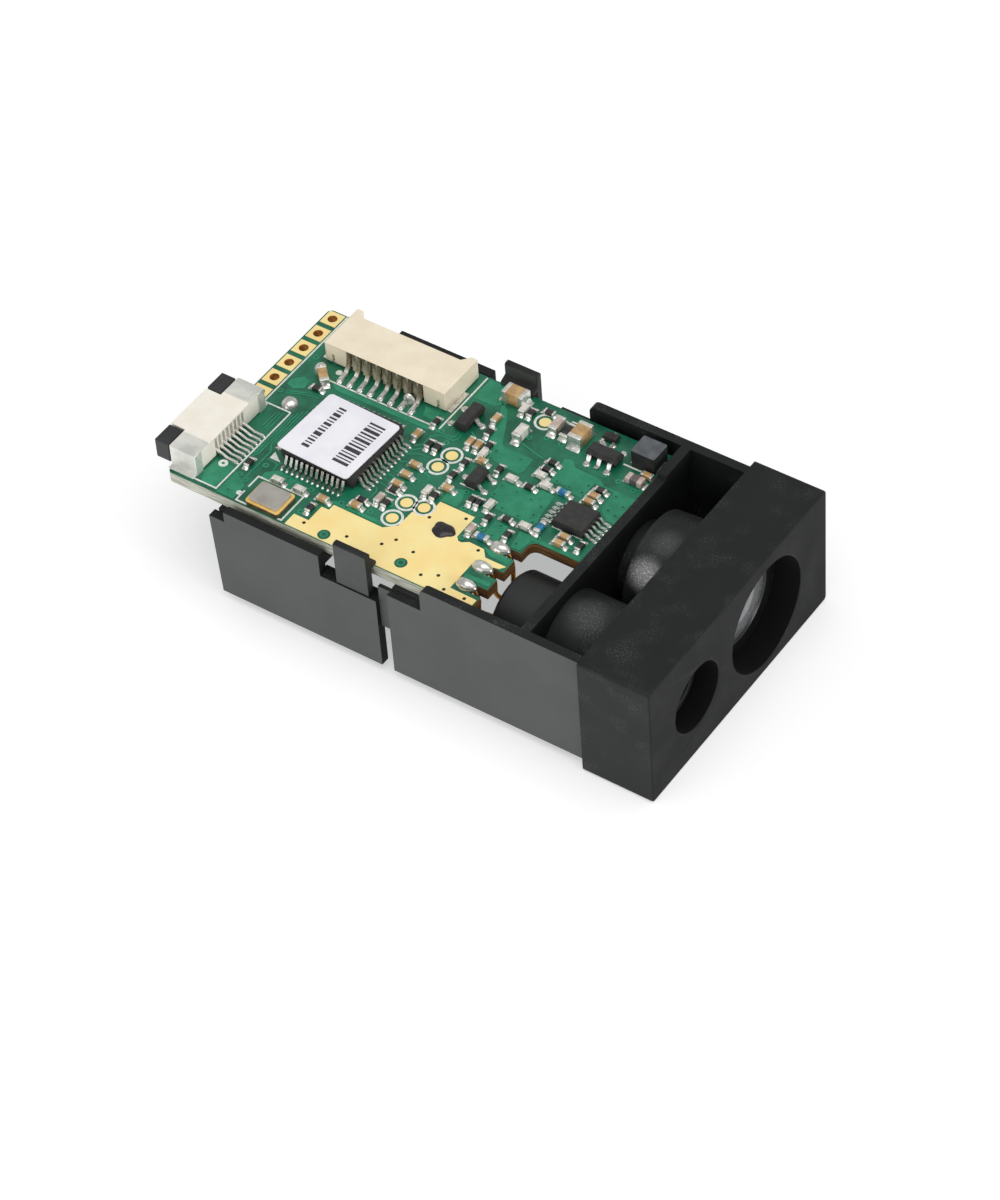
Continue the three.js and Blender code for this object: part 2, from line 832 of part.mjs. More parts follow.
// Small leaded chips: the body measures `length` along its rows of leads and `width` across them.
// front and rear hold [number of leads, spacing in pitches] for the two rows.
const SMALL_CHIPS = [
  {
    name: 'amplifier_chip', x: -15.45, y: 0.9, turn: 0, draft: 0.08,
    length: 2.7, width: 2.85, height: 0.85, tip: 2.45, pitch: 0.5, front: [5], rear: [5], leadWidth: 0.22,
  },
  {
    name: 'power_switch_chip', x: -28.98, y: 6.0, turn: 0, draft: 0.12,
    length: 2.85, width: 1.1, height: 0.95, tip: 1.3, pitch: 0.95, front: [1], rear: [2, 2], leadWidth: 0.4,
  },
  {
    name: 'regulator_chip', x: -17.45, y: 7.97, turn: Math.PI / 2, draft: 0.16,
    length: 2.85, width: 1.2, height: 1.0, tip: 1.4, pitch: 0.95, front: [2, 2], rear: [3], leadWidth: 0.36,
  },
  {
    name: 'transistor_chip', x: -24.62, y: 0.66, turn: 0, draft: 0.1,
    length: 1.97, width: 1.12, height: 0.9, tip: 1.25, pitch: 1.3, front: [2], rear: [1], leadWidth: 0.3,
  },
  {
    name: 'diode_chip', x: -18.2, y: 10.05, turn: Math.PI / 2, draft: 0.07,
    length: 1.3, width: 0.8, height: 0.5, tip: 0.75, pitch: 1.0, front: [1], rear: [2], leadWidth: 0.24,
  },
];

function smallChip(c) {
  const body = chipBody(c.width, c.length, c.height, CHIP.standoff, c.draft);
  const spec = { face: c.width / 2, tip: c.tip, exit: c.height * CHIP.leadExit, width: c.leadWidth };
  const rows = [];
  for (const [turn, [count, spacing = 1]] of [[0, c.front], [Math.PI, c.rear]]) {
    const offsets = evenOffsets(count, c.pitch * spacing);
    rows.push(...leadRow({ ...spec, offsets }, turn));
  }
  return onBoard(meshOf(c.name, joined([body, ...rows]), CHIP_BLACK), c.x, c.y, c.turn);
}

const BLOCK_EDGE = 0.07;
const BLOCK_CORNER = 0.06;

// Block-shaped parts: [name, x, y, size along X, size along Y, height, finish].
const BLOCK_PARTS = [
  ['power_inductor', -14.2, 9.4, 2.2, 2.0, 1.75, CHIP_BLACK],
  ['input_capacitor', -27.1, 9.8, 2.0, 1.25, 1.25, CERAMIC_TAN],
  ['output_capacitor', -20.2, 8.7, 1.25, 2.0, 1.25, CERAMIC_TAN],
  ['bias_capacitor', -22.55, 8.85, 0.8, 1.6, 0.8, CERAMIC_PINK],
  ['filter_inductor', -24.5, 6.6, 0.8, 1.5, 0.9, CERAMIC_WHITE],
];

function blockPart([name, x, y, sizeX, sizeY, height, finish]) {
  const bevel = BLOCK_EDGE;
  const shape = roundedShape(sizeX / 2 - bevel, sizeY / 2 - bevel, BLOCK_CORNER);
  const geometry = new THREE.ExtrudeGeometry(shape, {
    depth: height - 2 * bevel,
    bevelSize: bevel,
    bevelThickness: bevel,
    bevelSegments: 1,
    curveSegments: 2,
  });
  geometry.translate(0, 0, bevel);
  return onBoard(meshOf(name, solid(geometry), finish), x, y);
}

const SOLDER_JOINT = { x: -42.5, y: 0.2, radius: 0.78, height: 0.55 };
const GLUE_DOT = { x: -23.85, y: -5.1, length: 1.05, width: 0.85, height: 0.3 };

function boardParts() {
  const group = new THREE.Group();
  group.name = 'board_parts';
  const j = SOLDER_JOINT;
  const g = GLUE_DOT;
  group.add(controller(), chipLabel(), ...crystal());
  group.add(...SMALL_CHIPS.map(smallChip), ...BLOCK_PARTS.map(blockPart));
  group.add(meshOf('solder_joint', dome(j.x, j.y, j.radius, j.radius, j.height), TIN));
  group.add(meshOf('glue_dot', dome(g.x, g.y, g.length, g.width, g.height), GLUE_BLACK));
  group.add(...LASER_PINS.boardY.map((_, index) => laserSolder(index)));
  return group;
}

// ---------------------------------------------------------------- ribbon connector
function fpcContactOffsets() {
  return evenOffsets(FPC.contacts, FPC.pitch).map((offset) => FPC.y + offset);
}

function fpcHousing() {
  const f = FPC;
  const z = BOARD.top;
  const earInner = f.halfWidth - f.earDepth;
  const [bottom, top] = [z - REACH, z + f.top + REACH];
  const [mouthRear, mouthFront] = [f.rearX - REACH, f.frontX - f.wall];
  const cuts = [
    block(mouthRear, mouthFront, f.y - earInner, f.y + earInner, z + f.floorTop, z + f.roofUnder),
  ];
  for (const side of [-1, 1]) {
    const [a, b] = [f.y + side * (earInner - f.sideGap), f.y + side * (f.halfWidth + REACH)];
    const x1 = f.earFrontX + f.sideGap;
    cuts.push(block(f.rearX - REACH, x1, Math.min(a, b), Math.max(a, b), bottom, top));
  }
  const [slotRear, slotTop] = [f.frontX - f.wall - f.sideGap, z + f.contactSlotTop];
  for (const y of fpcContactOffsets()) {
    const [y0, y1] = [y - f.contactSlot / 2, y + f.contactSlot / 2];
    cuts.push(block(slotRear, f.frontX + REACH, y0, y1, bottom, slotTop));
  }
  const [y0, y1] = [f.y - f.halfWidth, f.y + f.halfWidth];
  const whole = block(f.rearX, f.frontX, y0, y1, z + f.standoff, z + f.top);
  return meshOf('ribbon_connector_housing', whole.subtract(joined(cuts)), CREAM_FPC);
}

function fpcSlider() {
  const f = FPC;
  const s = SLIDER;
  const z = BOARD.top;
  const earInner = f.halfWidth - f.earDepth;
  const outer = f.halfWidth;
  const [barRear, barInner] = [f.rearX + s.inset, earInner - s.clearance];
  const [z0, z1] = [z + s.barBottom, z + s.barTop];
  const bar = block(barRear, s.barFrontX, f.y - barInner, f.y + barInner, z0, z1);
  const bridge = block(barRear, s.bridgeFrontX, f.y - outer + s.inset, f.y + outer - s.inset, z0, z1);
  const ears = [-1, 1].map((side) => {
    const [a, b] = [f.y + side * (earInner + s.clearance), f.y + side * outer];
    return block(f.rearX, f.earFrontX, Math.min(a, b), Math.max(a, b), z + s.earBottom, z + s.earTop);
  });
  return meshOf('ribbon_lock_slider', joined([bar, bridge, ...ears]), SLIDER_GREY);
}

function fpcNail(name, side) {
  const n = NAIL;
  const f = FPC;
  const z = BOARD.top;
  const edge = f.halfWidth + n.sheet;
  const spans = [
    [n.rearX, n.frontX, edge - n.flange, edge, f.top, f.top + n.sheet],
    [n.rearX, n.frontX, f.halfWidth, edge, 0, f.top + n.sheet],
    [n.rearX, n.frontX, f.halfWidth, edge + n.foot, 0, n.sheet],
    [n.frontX, n.frontX + n.sheet, edge - n.legWidth, edge, 0, f.top + n.sheet],
  ];
  const sheets = spans.map(([x0, x1, a, b, z0, z1]) => {
    const [y0, y1] = [f.y + side * a, f.y + side * b];
    return block(x0, x1, Math.min(y0, y1), Math.max(y0, y1), z + z0, z + z1);
  });
  return meshOf(name, joined(sheets), TIN);
}

// A forked contact: [X, height above the board] round its outline, tail first.
const FPC_CONTACT_OUTLINE = [
  [-42.05, 0.02],
  [-42.05, 0.15],
  [-43.0, 0.17],
  [-43.55, 0.42],
  [-44.12, 0.62],
  [-44.12, 1.58],
  [-45.7, 1.5],
  [-45.7, 1.36],
  [-44.34, 1.4],
  [-44.34, 0.58],
  [-45.9, 0.54],
  [-45.9, 0.4],
  [-44.2, 0.42],
  [-43.6, 0.27],
  [-43.05, 0.02],
];

function fpcContact(y, index) {
  const outline = FPC_CONTACT_OUTLINE.map(([x, height]) => [x, BOARD.top + height]);
  const half = FPC.contactWidth / 2;
  return meshOf(`ribbon_contact_${index + 1}`, sweptY(shapeOf(outline), y - half, y + half), TIN);
}

function ribbonConnector() {
  const group = new THREE.Group();
  group.name = 'ribbon_connector';
  group.add(
    fpcHousing(),
    fpcSlider(),
    fpcNail('ribbon_nail_right', -1),
    fpcNail('ribbon_nail_left', 1),
    ...fpcContactOffsets().map(fpcContact),
  );
  return group;
}

// ---------------------------------------------------------------- wire connector
function wireContactOffsets() {
  const middle = (WIRE.rearX + WIRE.frontX) / 2;
  return evenOffsets(WIRE.contacts, WIRE.pitch).map((offset) => middle + offset);
}

function wireHousingOutline() {
  const w = WIRE;
  return shapeOf([
    [w.rearX, w.innerY],
    [w.frontX, w.innerY],
    [w.frontX, w.cheekY],
    [w.frontX - w.cheek + w.cheekTaper, w.cheekY],
    [w.frontX - w.cheek, w.outerY],
    [w.rearX + w.cheek, w.outerY],
    [w.rearX + w.cheek - w.cheekTaper, w.cheekY],
    [w.rearX, w.cheekY],
  ]);
}

function wireHousing() {
  const w = WIRE;
  const z = BOARD.top;
  const [slotY0, slotY1, slotZ0] = [w.innerY - REACH, w.innerY + w.slotDepth, z - REACH];
  const [m0, m1] = [w.rearX + w.mouthSide, w.frontX - w.mouthSide];
  const cuts = [block(m0, m1, w.mouthY, w.cheekY + REACH, z + w.mouthBottom, z + w.mouthTop)];
  for (const x of wireContactOffsets()) {
    const [x0, x1] = [x - w.slotWidth / 2, x + w.slotWidth / 2];
    cuts.push(block(x0, x1, slotY0, slotY1, slotZ0, z + w.slotTop));
    cuts.push(block(x0, x1, w.innerY, w.mouthY + REACH, z + w.tineHoleBottom, z + w.tineHoleTop));
  }
  for (const x of [w.rearX + w.endSlotInset, w.frontX - w.endSlotInset]) {
    const [x0, x1] = [x - w.endSlotWidth / 2, x + w.endSlotWidth / 2];
    cuts.push(block(x0, x1, slotY0, slotY1, slotZ0, z + w.endSlotTop));
  }
  const body = raised(wireHousingOutline(), z + w.bottom, z + w.top).subtract(joined(cuts));
  return meshOf('wire_connector_housing', body, CREAM_WIRE);
}

// A wire connector's contact: [Y, height above the board] round its outline, tine first.
const WIRE_CONTACT_OUTLINE = [
  [9.3, 1.2],
  [6.08, 1.2],
  [6.05, 1.88],
  [5.86, 1.88],
  [5.62, 0.8],
  [5.25, 0.34],
  [4.17, 0.2],
  [4.17, 0.02],
  [5.3, 0.12],
  [5.78, 0.6],
  [5.98, 1.0],
  [9.3, 1.0],
];

function wireContact(x, index) {
  const outline = WIRE_CONTACT_OUTLINE.map(([y, height]) => [y, BOARD.top + height]);
  const half = WIRE.contactWidth / 2;
  return meshOf(`wire_contact_${index + 1}`, sweptX(shapeOf(outline), x - half, x + half), TIN);
}

function wireTab(name, side) {
  const t = WIRE_TAB;
  const z = BOARD.top;
  const face = side > 0 ? WIRE.frontX : WIRE.rearX;
  const [a, b] = [face - side * t.under, face + side * t.outside];
  return meshOf(name, block(Math.min(a, b), Math.max(a, b), t.rearY, t.frontY, z, z + t.sheet), TIN);
}

function wireConnector() {
  const group = new THREE.Group();
  group.name = 'wire_connector';
  group.add(
    wireHousing(),
    ...wireContactOffsets().map(wireContact),
    wireTab('wire_tab_front', 1),
    wireTab('wire_tab_rear', -1),
  );
  return group;
}

// ---------------------------------------------------------------- whole module
const module = new THREE.Group();
module.name = 'lidar_scanner_module';
module.add(
  chassis(),
  snapClip('snap_clip_right', -1),
  snapClip('snap_clip_left', 1),
  optics(),
  circuitBoard(),
  boardParts(),
  ribbonConnector(),
  wireConnector(),
);
module.position.x = LENGTH / 2;

export default module;
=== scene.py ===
import json
import math

import bmesh
import bpy
from mathutils import Matrix, Vector

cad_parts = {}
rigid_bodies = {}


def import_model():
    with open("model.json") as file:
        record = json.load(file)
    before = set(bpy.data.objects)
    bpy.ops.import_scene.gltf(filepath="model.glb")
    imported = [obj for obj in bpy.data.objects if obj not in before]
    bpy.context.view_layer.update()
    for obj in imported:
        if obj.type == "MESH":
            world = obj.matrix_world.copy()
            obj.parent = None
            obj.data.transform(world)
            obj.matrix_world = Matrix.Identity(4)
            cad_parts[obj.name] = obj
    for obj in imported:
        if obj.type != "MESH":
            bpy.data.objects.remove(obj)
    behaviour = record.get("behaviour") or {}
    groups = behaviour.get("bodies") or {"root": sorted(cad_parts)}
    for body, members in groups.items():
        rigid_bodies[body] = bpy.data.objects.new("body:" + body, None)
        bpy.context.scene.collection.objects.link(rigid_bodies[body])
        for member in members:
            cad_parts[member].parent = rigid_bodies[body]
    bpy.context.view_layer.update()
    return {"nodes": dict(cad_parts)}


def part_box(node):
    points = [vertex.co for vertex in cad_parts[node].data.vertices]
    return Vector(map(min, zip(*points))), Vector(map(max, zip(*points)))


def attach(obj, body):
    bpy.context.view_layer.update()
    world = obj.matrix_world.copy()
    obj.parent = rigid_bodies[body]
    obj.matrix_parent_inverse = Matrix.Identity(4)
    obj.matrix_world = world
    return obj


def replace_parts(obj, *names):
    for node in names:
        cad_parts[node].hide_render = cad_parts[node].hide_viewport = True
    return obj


for leftover in list(bpy.data.objects):
    bpy.data.objects.remove(leftover)

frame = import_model()
NODES = frame["nodes"]

MM = 0.001
SMOOTH_ANGLE = 35  # edges sharper than this, in degrees, stay sharp
FRONT = 24.0  # the head's front face in the row frame; every X below is measured from it
BOARD_TOP = 10.475
BOARD_UNDER = 9.475
OPTICS_Z = 5.85
RECEIVER_Y = 3.9
LASER_Y = -6.1
HEAD_REAR = FRONT - 6.44
WALL_FLANK = 11.7  # further out than this, a face belongs to a side wall
WALL_EDGE = 12.05

# For each bore: its axis in Y, its radius, and the radius and rearward reach of the barrel behind it.
BARRELS = ((RECEIVER_Y, 5.05, 5.04, 10.28), (LASER_Y, 3.9, 4.32, 13.0))
# Painted highlights on the barrels: each patch's centre, the radii where it fades out and is full, and
# its strength.
BARREL_HIGHLIGHTS = (
    ((FRONT - 8.7, 0.1, 8.95), 1.9, 0.3, 1.0),
    ((FRONT - 8.2, 2.6, 10.7), 1.8, 0.3, 0.12),
    ((FRONT - 9.5, -6.5, 10.1), 2.4, 0.4, 0.14),
)


# ------------------------------------------------------------------ materials
def rgb(red, green, blue):
    """An sRGB colour, 0 to 255, as linear RGBA."""

    def linear(value):
        value /= 255
        return value / 12.92 if value <= 0.04045 else ((value + 0.055) / 1.055) ** 2.4

    return (linear(red), linear(green), linear(blue), 1.0)


class Finish:
    """One node material, built up from object-space noise."""

    def __init__(self, name):
        self.material = bpy.data.materials.new(name)
        self.material.use_nodes = True
        self.tree = self.material.node_tree
        self.shader = self.tree.nodes["Principled BSDF"]
        self.place = self.add("ShaderNodeTexCoord").outputs["Object"]

    def add(self, kind, **settings):
        node = self.tree.nodes.new(kind)
        for key, value in settings.items():
            setattr(node, key, value)
        return node

    def feed(self, socket, value):
        if isinstance(value, bpy.types.NodeSocket):
            self.tree.links.new(value, socket)
        else:
            socket.default_value = value

    def set(self, **values):
        for key, value in values.items():
            self.feed(self.shader.inputs[key.replace("_", " ")], value)
        return self

    def noise(self, scale, detail=3.0, roughness=0.55, stretch=None):
        node = self.add("ShaderNodeTexNoise")
        place = self.place
        if stretch:
            mapping = self.add("ShaderNodeMapping")
            self.feed(mapping.inputs["Vector"], place)
            mapping.inputs["Scale"].default_value = stretch
            place = mapping.outputs["Vector"]
        self.feed(node.inputs["Vector"], place)
        node.inputs["Scale"].default_value = scale
        node.inputs["Detail"].default_value = detail
        node.inputs["Roughness"].default_value = roughness
        return node.outputs["Fac"]

    def cells(self, scale):
        node = self.add("ShaderNodeTexVoronoi", feature="F1")
        self.feed(node.inputs["Vector"], self.place)
        node.inputs["Scale"].default_value = scale
        return node.outputs["Distance"]

    def spread(self, value, low, high, to_low=0.0, to_high=1.0):
        node = self.add("ShaderNodeMapRange", interpolation_type="SMOOTHSTEP")
        for key, number in zip(
            ("Value", "From Min", "From Max", "To Min", "To Max"), (value, low, high, to_low, to_high)
        ):
            self.feed(node.inputs[key], number)
        return node.outputs["Result"]

    def mix(self, share, first, second):
        node = self.add("ShaderNodeMix", data_type="RGBA")
        for index, value in ((0, share), (6, first), (7, second)):
            self.feed(node.inputs[index], value)
        return node.outputs[2]

    def calc(self, operation, first, second=0.0):
        node = self.add("ShaderNodeMath", operation=operation)
        self.feed(node.inputs[0], first)
        self.feed(node.inputs[1], second)
        return node.outputs[0]

    def axis(self, name, source=None):
        node = self.add("ShaderNodeSeparateXYZ")
        self.feed(node.inputs[0], source or self.place)
        return node.outputs[name]

    def length(self, first, second):
        squares = (self.calc("MULTIPLY", side, side) for side in (first, second))
        return self.calc("SQRT", self.calc("ADD", *squares))

    def distance(self, point):
        """Distance from a point given in mm."""
        node = self.add("ShaderNodeVectorMath", operation="DISTANCE")
        self.feed(node.inputs[0], self.place)
        node.inputs[1].default_value = [value * MM for value in point]
        return node.outputs["Value"]

    def normal_axis(self, name):
        return self.axis(name, self.add("ShaderNodeNewGeometry").outputs["Normal"])

    def bump(self, height, depth_mm):
        node = self.add("ShaderNodeBump")
        node.inputs["Distance"].default_value = depth_mm * MM
        node.inputs["Strength"].default_value = 1.0
        self.feed(node.inputs["Height"], height)
        self.set(Normal=node.outputs["Normal"])
        return self

    def outside(self, centre, half):
        """1 outside a box in X and Y around centre, 0 inside it; both in mm."""
        reach = []
        for name, middle, size in zip("XY", (centre[0] + FRONT, centre[1]), half):
            offset = self.calc("ABSOLUTE", self.calc("SUBTRACT", self.axis(name), middle * MM))
            reach.append(self.calc("SUBTRACT", offset, size * MM))
        return self.calc("GREATER_THAN", self.calc("MAXIMUM", *reach), 0.0)


def mottled(name, dark, light, rough, metallic=0.0, blotch=700, grain=5000, depth=0.004, **extra):
    """A finish whose colour drifts between two tones, with a fine grain in gloss and relief."""
    f = Finish(name)
    fine = f.noise(grain, 2.0)
    tone = f.mix(f.spread(f.noise(blotch, 4.0), 0.3, 0.7), dark, light)
    f.set(Base_Color=tone, Roughness=f.spread(fine, 0.25, 0.75, *rough), Metallic=metallic)
    f.bump(fine, depth)
    f.set(**extra)
    return f.material


def moulded_black(name, dark, light, rough=(0.42, 0.62)):
    """Spark-textured black plastic with a few light dust specks."""
    f = Finish(name)
    grain = f.noise(7000, 3.0, 0.6)
    broad = f.noise(260, 5.0, 0.5)
    specks = f.spread(f.cells(2600), 0.06, 0.02)
    patchy = f.calc("MULTIPLY", specks, f.spread(f.noise(420, 3.0), 0.58, 0.66))
    tone = f.mix(f.spread(broad, 0.25, 0.75), dark, light)
    tone = f.mix(f.calc("MULTIPLY", patchy, 0.45), tone, rgb(150, 152, 150))
    f.set(Base_Color=tone, Roughness=f.spread(broad, 0.2, 0.8, *rough))
    return f.bump(grain, 0.006).material


def bore_masks(f, x, y, z, head):
    """1 on the walls of the bores, where painted shade goes, and 1 on the barrels behind the head."""
    bore_shade = 0.0
    barrel = 0.0
    for centre_y, bore, shell, reach in BARRELS:
        off_axis = f.length(f.calc("SUBTRACT", y, centre_y * MM), f.calc("SUBTRACT", z, OPTICS_Z * MM))
        inside = f.calc("MULTIPLY", f.calc("LESS_THAN", off_axis, bore * MM), head)
        bore_shade = f.calc("MAXIMUM", bore_shade, inside)
        behind = f.calc("LESS_THAN", off_axis, shell * MM)
        behind = f.calc("MULTIPLY", behind, f.calc("SUBTRACT", 1.0, head))
        behind = f.calc("MULTIPLY", behind, f.calc("GREATER_THAN", x, (FRONT - reach) * MM))
        barrel = f.calc("MAXIMUM", barrel, behind)
    forward = f.calc("LESS_THAN", f.normal_axis("X"), 0.6)
    return f.calc("MULTIPLY", bore_shade, forward), barrel


def wall_tones(f, y, head, broad, tone):
    """Side walls painted paler as painted light, with a paler painted highlight along their top edges.
    """
    side = f.calc("ABSOLUTE", f.normal_axis("Y"))
    off_middle = f.calc("ABSOLUTE", y)
    outer = f.calc("GREATER_THAN", off_middle, WALL_FLANK * MM)
    outer = f.calc("MULTIPLY", outer, f.calc("SUBTRACT", 1.0, head))
    outer = f.calc("MULTIPLY", outer, f.spread(side, 0.4, 0.9))
    # Painted light: the side walls' outer faces get a paler tone than the moulding.
    painted_wall_light = f.mix(f.spread(broad, 0.25, 0.75), rgb(73, 76, 74), rgb(82, 85, 83))
    tone = f.mix(outer, tone, painted_wall_light)
    flank = f.calc("GREATER_THAN", f.calc("SUBTRACT", off_middle, head), WALL_EDGE * MM)
    # Painted highlight: a pale line on the walls' slanted top edges, stronger in patches.
    slanted = f.calc("MULTIPLY", f.spread(side, 0.45, 0.6), f.spread(f.normal_axis("Z"), 0.3, 0.5))
    edge_highlight = f.calc("MULTIPLY", slanted, f.spread(broad, 0.35, 0.7, 0.25, 0.8))
    return outer, f.mix(f.calc("MULTIPLY", flank, edge_highlight), tone, rgb(150, 152, 150))


def barrel_highlight_share(f, barrel, speck):
    """How strongly the pale, speckled painted highlights lie on the barrels."""
    highlight = 0.0
    for centre, outer, inner, strength in BARREL_HIGHLIGHTS:
        patch = f.spread(f.distance(centre), outer * MM, inner * MM)
        highlight = f.calc("ADD", highlight, f.calc("MULTIPLY", patch, strength))
    return f.calc("MULTIPLY", f.calc("MULTIPLY", highlight, barrel), f.spread(speck, 0.0, 1.0, 0.35, 0.9))


def chassis_black():
    """The moulding: a darker head, walls and barrels paler with painted light, forward faces and bores
    in painted shade.
    """
    f = Finish("chassis_moulding")
    x, y, z = (f.axis(name) for name in "XYZ")
    broad = f.noise(260, 5.0, 0.5)
    grain = f.noise(7000, 3.0, 0.6)
    speck = f.spread(f.noise(9000, 2.0, 0.7), 0.5, 0.66)
    scuff = f.calc("MULTIPLY", speck, f.spread(f.noise(330, 4.0), 0.46, 0.72))
    head = f.calc("GREATER_THAN", x, HEAD_REAR * MM)
    bore_shade, barrel = bore_masks(f, x, y, z, head)
    front = f.spread(f.normal_axis("X"), 0.7, 0.9)
    tone = f.mix(f.spread(broad, 0.25, 0.75), rgb(21, 23, 23), rgb(26, 28, 28))
    outer, tone = wall_tones(f, y, head, broad, tone)
    scuffed = f.calc("MULTIPLY", scuff, f.calc("SUBTRACT", 0.16, f.calc("MULTIPLY", outer, 0.12)))
    tone = f.mix(scuffed, tone, rgb(170, 172, 170))
    # Painted glow: the barrels behind the head painted lighter in patches.
    barrel_glow = f.calc("MULTIPLY", barrel, f.spread(broad, 0.35, 0.7, 0.1, 0.4))
    tone = f.mix(barrel_glow, tone, rgb(54, 56, 55))
    # Painted highlights: pale speckled patches on the barrels behind the head.
    tone = f.mix(barrel_highlight_share(f, barrel, speck), tone, rgb(222, 222, 222))
    # Painted shade: the bores' walls near-black.
    tone = f.mix(bore_shade, tone, rgb(7, 8, 7))
    # Painted shade: faces that look forward (+X) darkened.
    tone = f.mix(f.calc("MULTIPLY", front, 0.7), tone, rgb(9, 10, 10))
    matt = f.calc("MAXIMUM", f.calc("MULTIPLY", bore_shade, 0.4), f.calc("MULTIPLY", front, 0.2))
    rough = f.calc("ADD", f.spread(broad, 0.2, 0.8, 0.46, 0.6), matt)
    f.set(Base_Color=tone, Roughness=rough, Specular_IOR_Level=0.24)
    return f.bump(grain, 0.006).material


def top_and_sides(name, top, side, rough):
    """One tone on faces that look up and another on the sides."""
    f = Finish(name)
    grain = f.noise(5200, 3.0)
    drift = f.spread(f.noise(1400, 4.0), 0.3, 0.7)
    up = f.spread(f.normal_axis("Z"), 0.35, 0.75)
    tone = f.mix(up, f.mix(drift, *side), f.mix(drift, *top))
    f.set(Base_Color=tone, Roughness=f.spread(grain, 0.25, 0.75, *rough))
    return f.bump(grain, 0.006).material


def lit_and_shaded_sides(name, flat, rest, rough, gloss):
    """Painted light and shade: a paler tone on faces square to Y and a darker one on the rest."""
    f = Finish(name)
    grain = f.noise(7000, 3.0, 0.6)
    drift = f.spread(f.noise(300, 4.0), 0.3, 0.7)
    lit_faces = f.spread(f.calc("ABSOLUTE", f.normal_axis("Y")), 0.8, 0.97)
    tone = f.mix(lit_faces, f.mix(drift, *rest), f.mix(drift, *flat))
    f.set(Base_Color=tone, Roughness=f.spread(grain, 0.25, 0.75, *rough), Specular_IOR_Level=gloss)
    return f.bump(grain, 0.006).material


def by_height(name, split, lower, upper, rough, metallic):
    """Two tones that meet at a height above the board, in mm."""
    f = Finish(name)
    grain = f.noise(5200, 3.0)
    drift = f.spread(f.noise(2600, 4.0), 0.3, 0.7)
    above = f.spread(f.axis("Z"), (BOARD_TOP + split[0]) * MM, (BOARD_TOP + split[1]) * MM)
    tone = f.mix(above, f.mix(drift, *lower), f.mix(drift, *upper))
    f.set(Base_Color=tone, Roughness=f.spread(grain, 0.25, 0.75, *rough), Metallic=metallic)
    return f.bump(grain, 0.004).material


def leaded_chip(name, centre, half):
    """Moulded epoxy inside the body's outline and tinned metal outside it."""
    f = Finish(name)
    lead = f.outside(centre, half)
    grain = f.noise(6500, 3.0)
    body = f.mix(f.spread(f.noise(1500, 4.0), 0.3, 0.7), rgb(36, 35, 35), rgb(50, 48, 47))
    tin = f.mix(f.spread(f.noise(4200, 3.0), 0.35, 0.65), rgb(188, 188, 182), rgb(232, 231, 226))
    f.set(Base_Color=f.mix(lead, body, tin), Metallic=lead)
    rough = f.calc("ADD", f.spread(grain, 0.2, 0.8, 0.5, 0.72), f.calc("MULTIPLY", lead, -0.32))
    f.set(Roughness=rough)
    return f.bump(grain, 0.004).material


def laminate_board():
    """Green solder mask on both faces, with bare glass laminate on the cut edges."""
    f = Finish("board_laminate_finish")
    weave = f.calc("ADD", f.noise(5200, 1.0, 0.5, (1, 0.12, 1)), f.noise(5200, 1.0, 0.5, (0.12, 1, 1)))
    broad = f.noise(330, 4.0, 0.6)
    mask = f.mix(f.spread(broad, 0.35, 0.62), rgb(14, 88, 64), rgb(28, 116, 86))
    layers = f.noise(9000, 2.0, 0.5, (0.06, 0.06, 1))
    pale = f.mix(f.spread(layers, 0.35, 0.65), rgb(150, 152, 136), rgb(205, 204, 192))
    brown = f.mix(f.spread(layers, 0.35, 0.65), rgb(78, 52, 22), rgb(132, 92, 46))
    edge = f.mix(f.calc("GREATER_THAN", f.axis("X"), (FRONT - 19.0) * MM), pale, brown)
    side = f.calc("LESS_THAN", f.calc("ABSOLUTE", f.normal_axis("Z")), 0.5)
    rough = f.calc("ADD", f.calc("MULTIPLY", side, 0.35), 0.3)
    f.set(Base_Color=f.mix(side, mask, edge), Roughness=rough)
    return f.bump(weave, 0.002).material


def glass(name, tint, roughness=0.03, transmission=0.9, haze=1.0):
    f = Finish(name)
    dust = f.noise(3000, 3.0)
    f.set(Base_Color=f.mix(f.spread(dust, 0.35, 0.7, 0.0, haze), tint, rgb(225, 228, 230)))
    f.set(Roughness=f.spread(dust, 0.3, 0.8, roughness, roughness + 0.08))
    f.set(Transmission_Weight=transmission, IOR=1.5)
    return f.bump(dust, 0.0006).material


CHASSIS = chassis_black()
# Painted light and shade: the clips' faces square to Y paler, the rest darker.
CLIP_BLACK = lit_and_shaded_sides(
    "clip_moulding", (rgb(62, 65, 63), rgb(70, 73, 71)), (rgb(20, 22, 22), rgb(32, 34, 33)),
    (0.45, 0.62), 0.3,
)
BLACK_SMOOTH = moulded_black("turned_black", rgb(22, 24, 24), rgb(34, 36, 36), (0.45, 0.6))
RING_BLACK = moulded_black("ring_black", rgb(12, 13, 12), rgb(18, 19, 18), (0.3, 0.4))
MASK_LIGHT = mottled(
    "mask_over_copper", rgb(28, 126, 92), rgb(42, 142, 106), (0.26, 0.38), blotch=900, grain=4200,
    depth=0.002,
)
GOLD = mottled(
    "gilt_copper", rgb(255, 226, 150), rgb(255, 236, 166), (0.34, 0.46), 0.06, blotch=420, grain=3600,
    depth=0.002,
)
SILK = mottled("white_print", rgb(205, 212, 202), rgb(238, 240, 234), (0.55, 0.75), blotch=3800)
TIN = mottled("bright_tin", rgb(212, 210, 202), rgb(244, 242, 235), (0.26, 0.42), 0.8, blotch=2200)
PLATE = mottled(
    "satin_plate", rgb(206, 207, 200), rgb(238, 238, 230), (0.28, 0.42), 0.45,
    blotch=500, grain=6500, depth=0.0008,
)
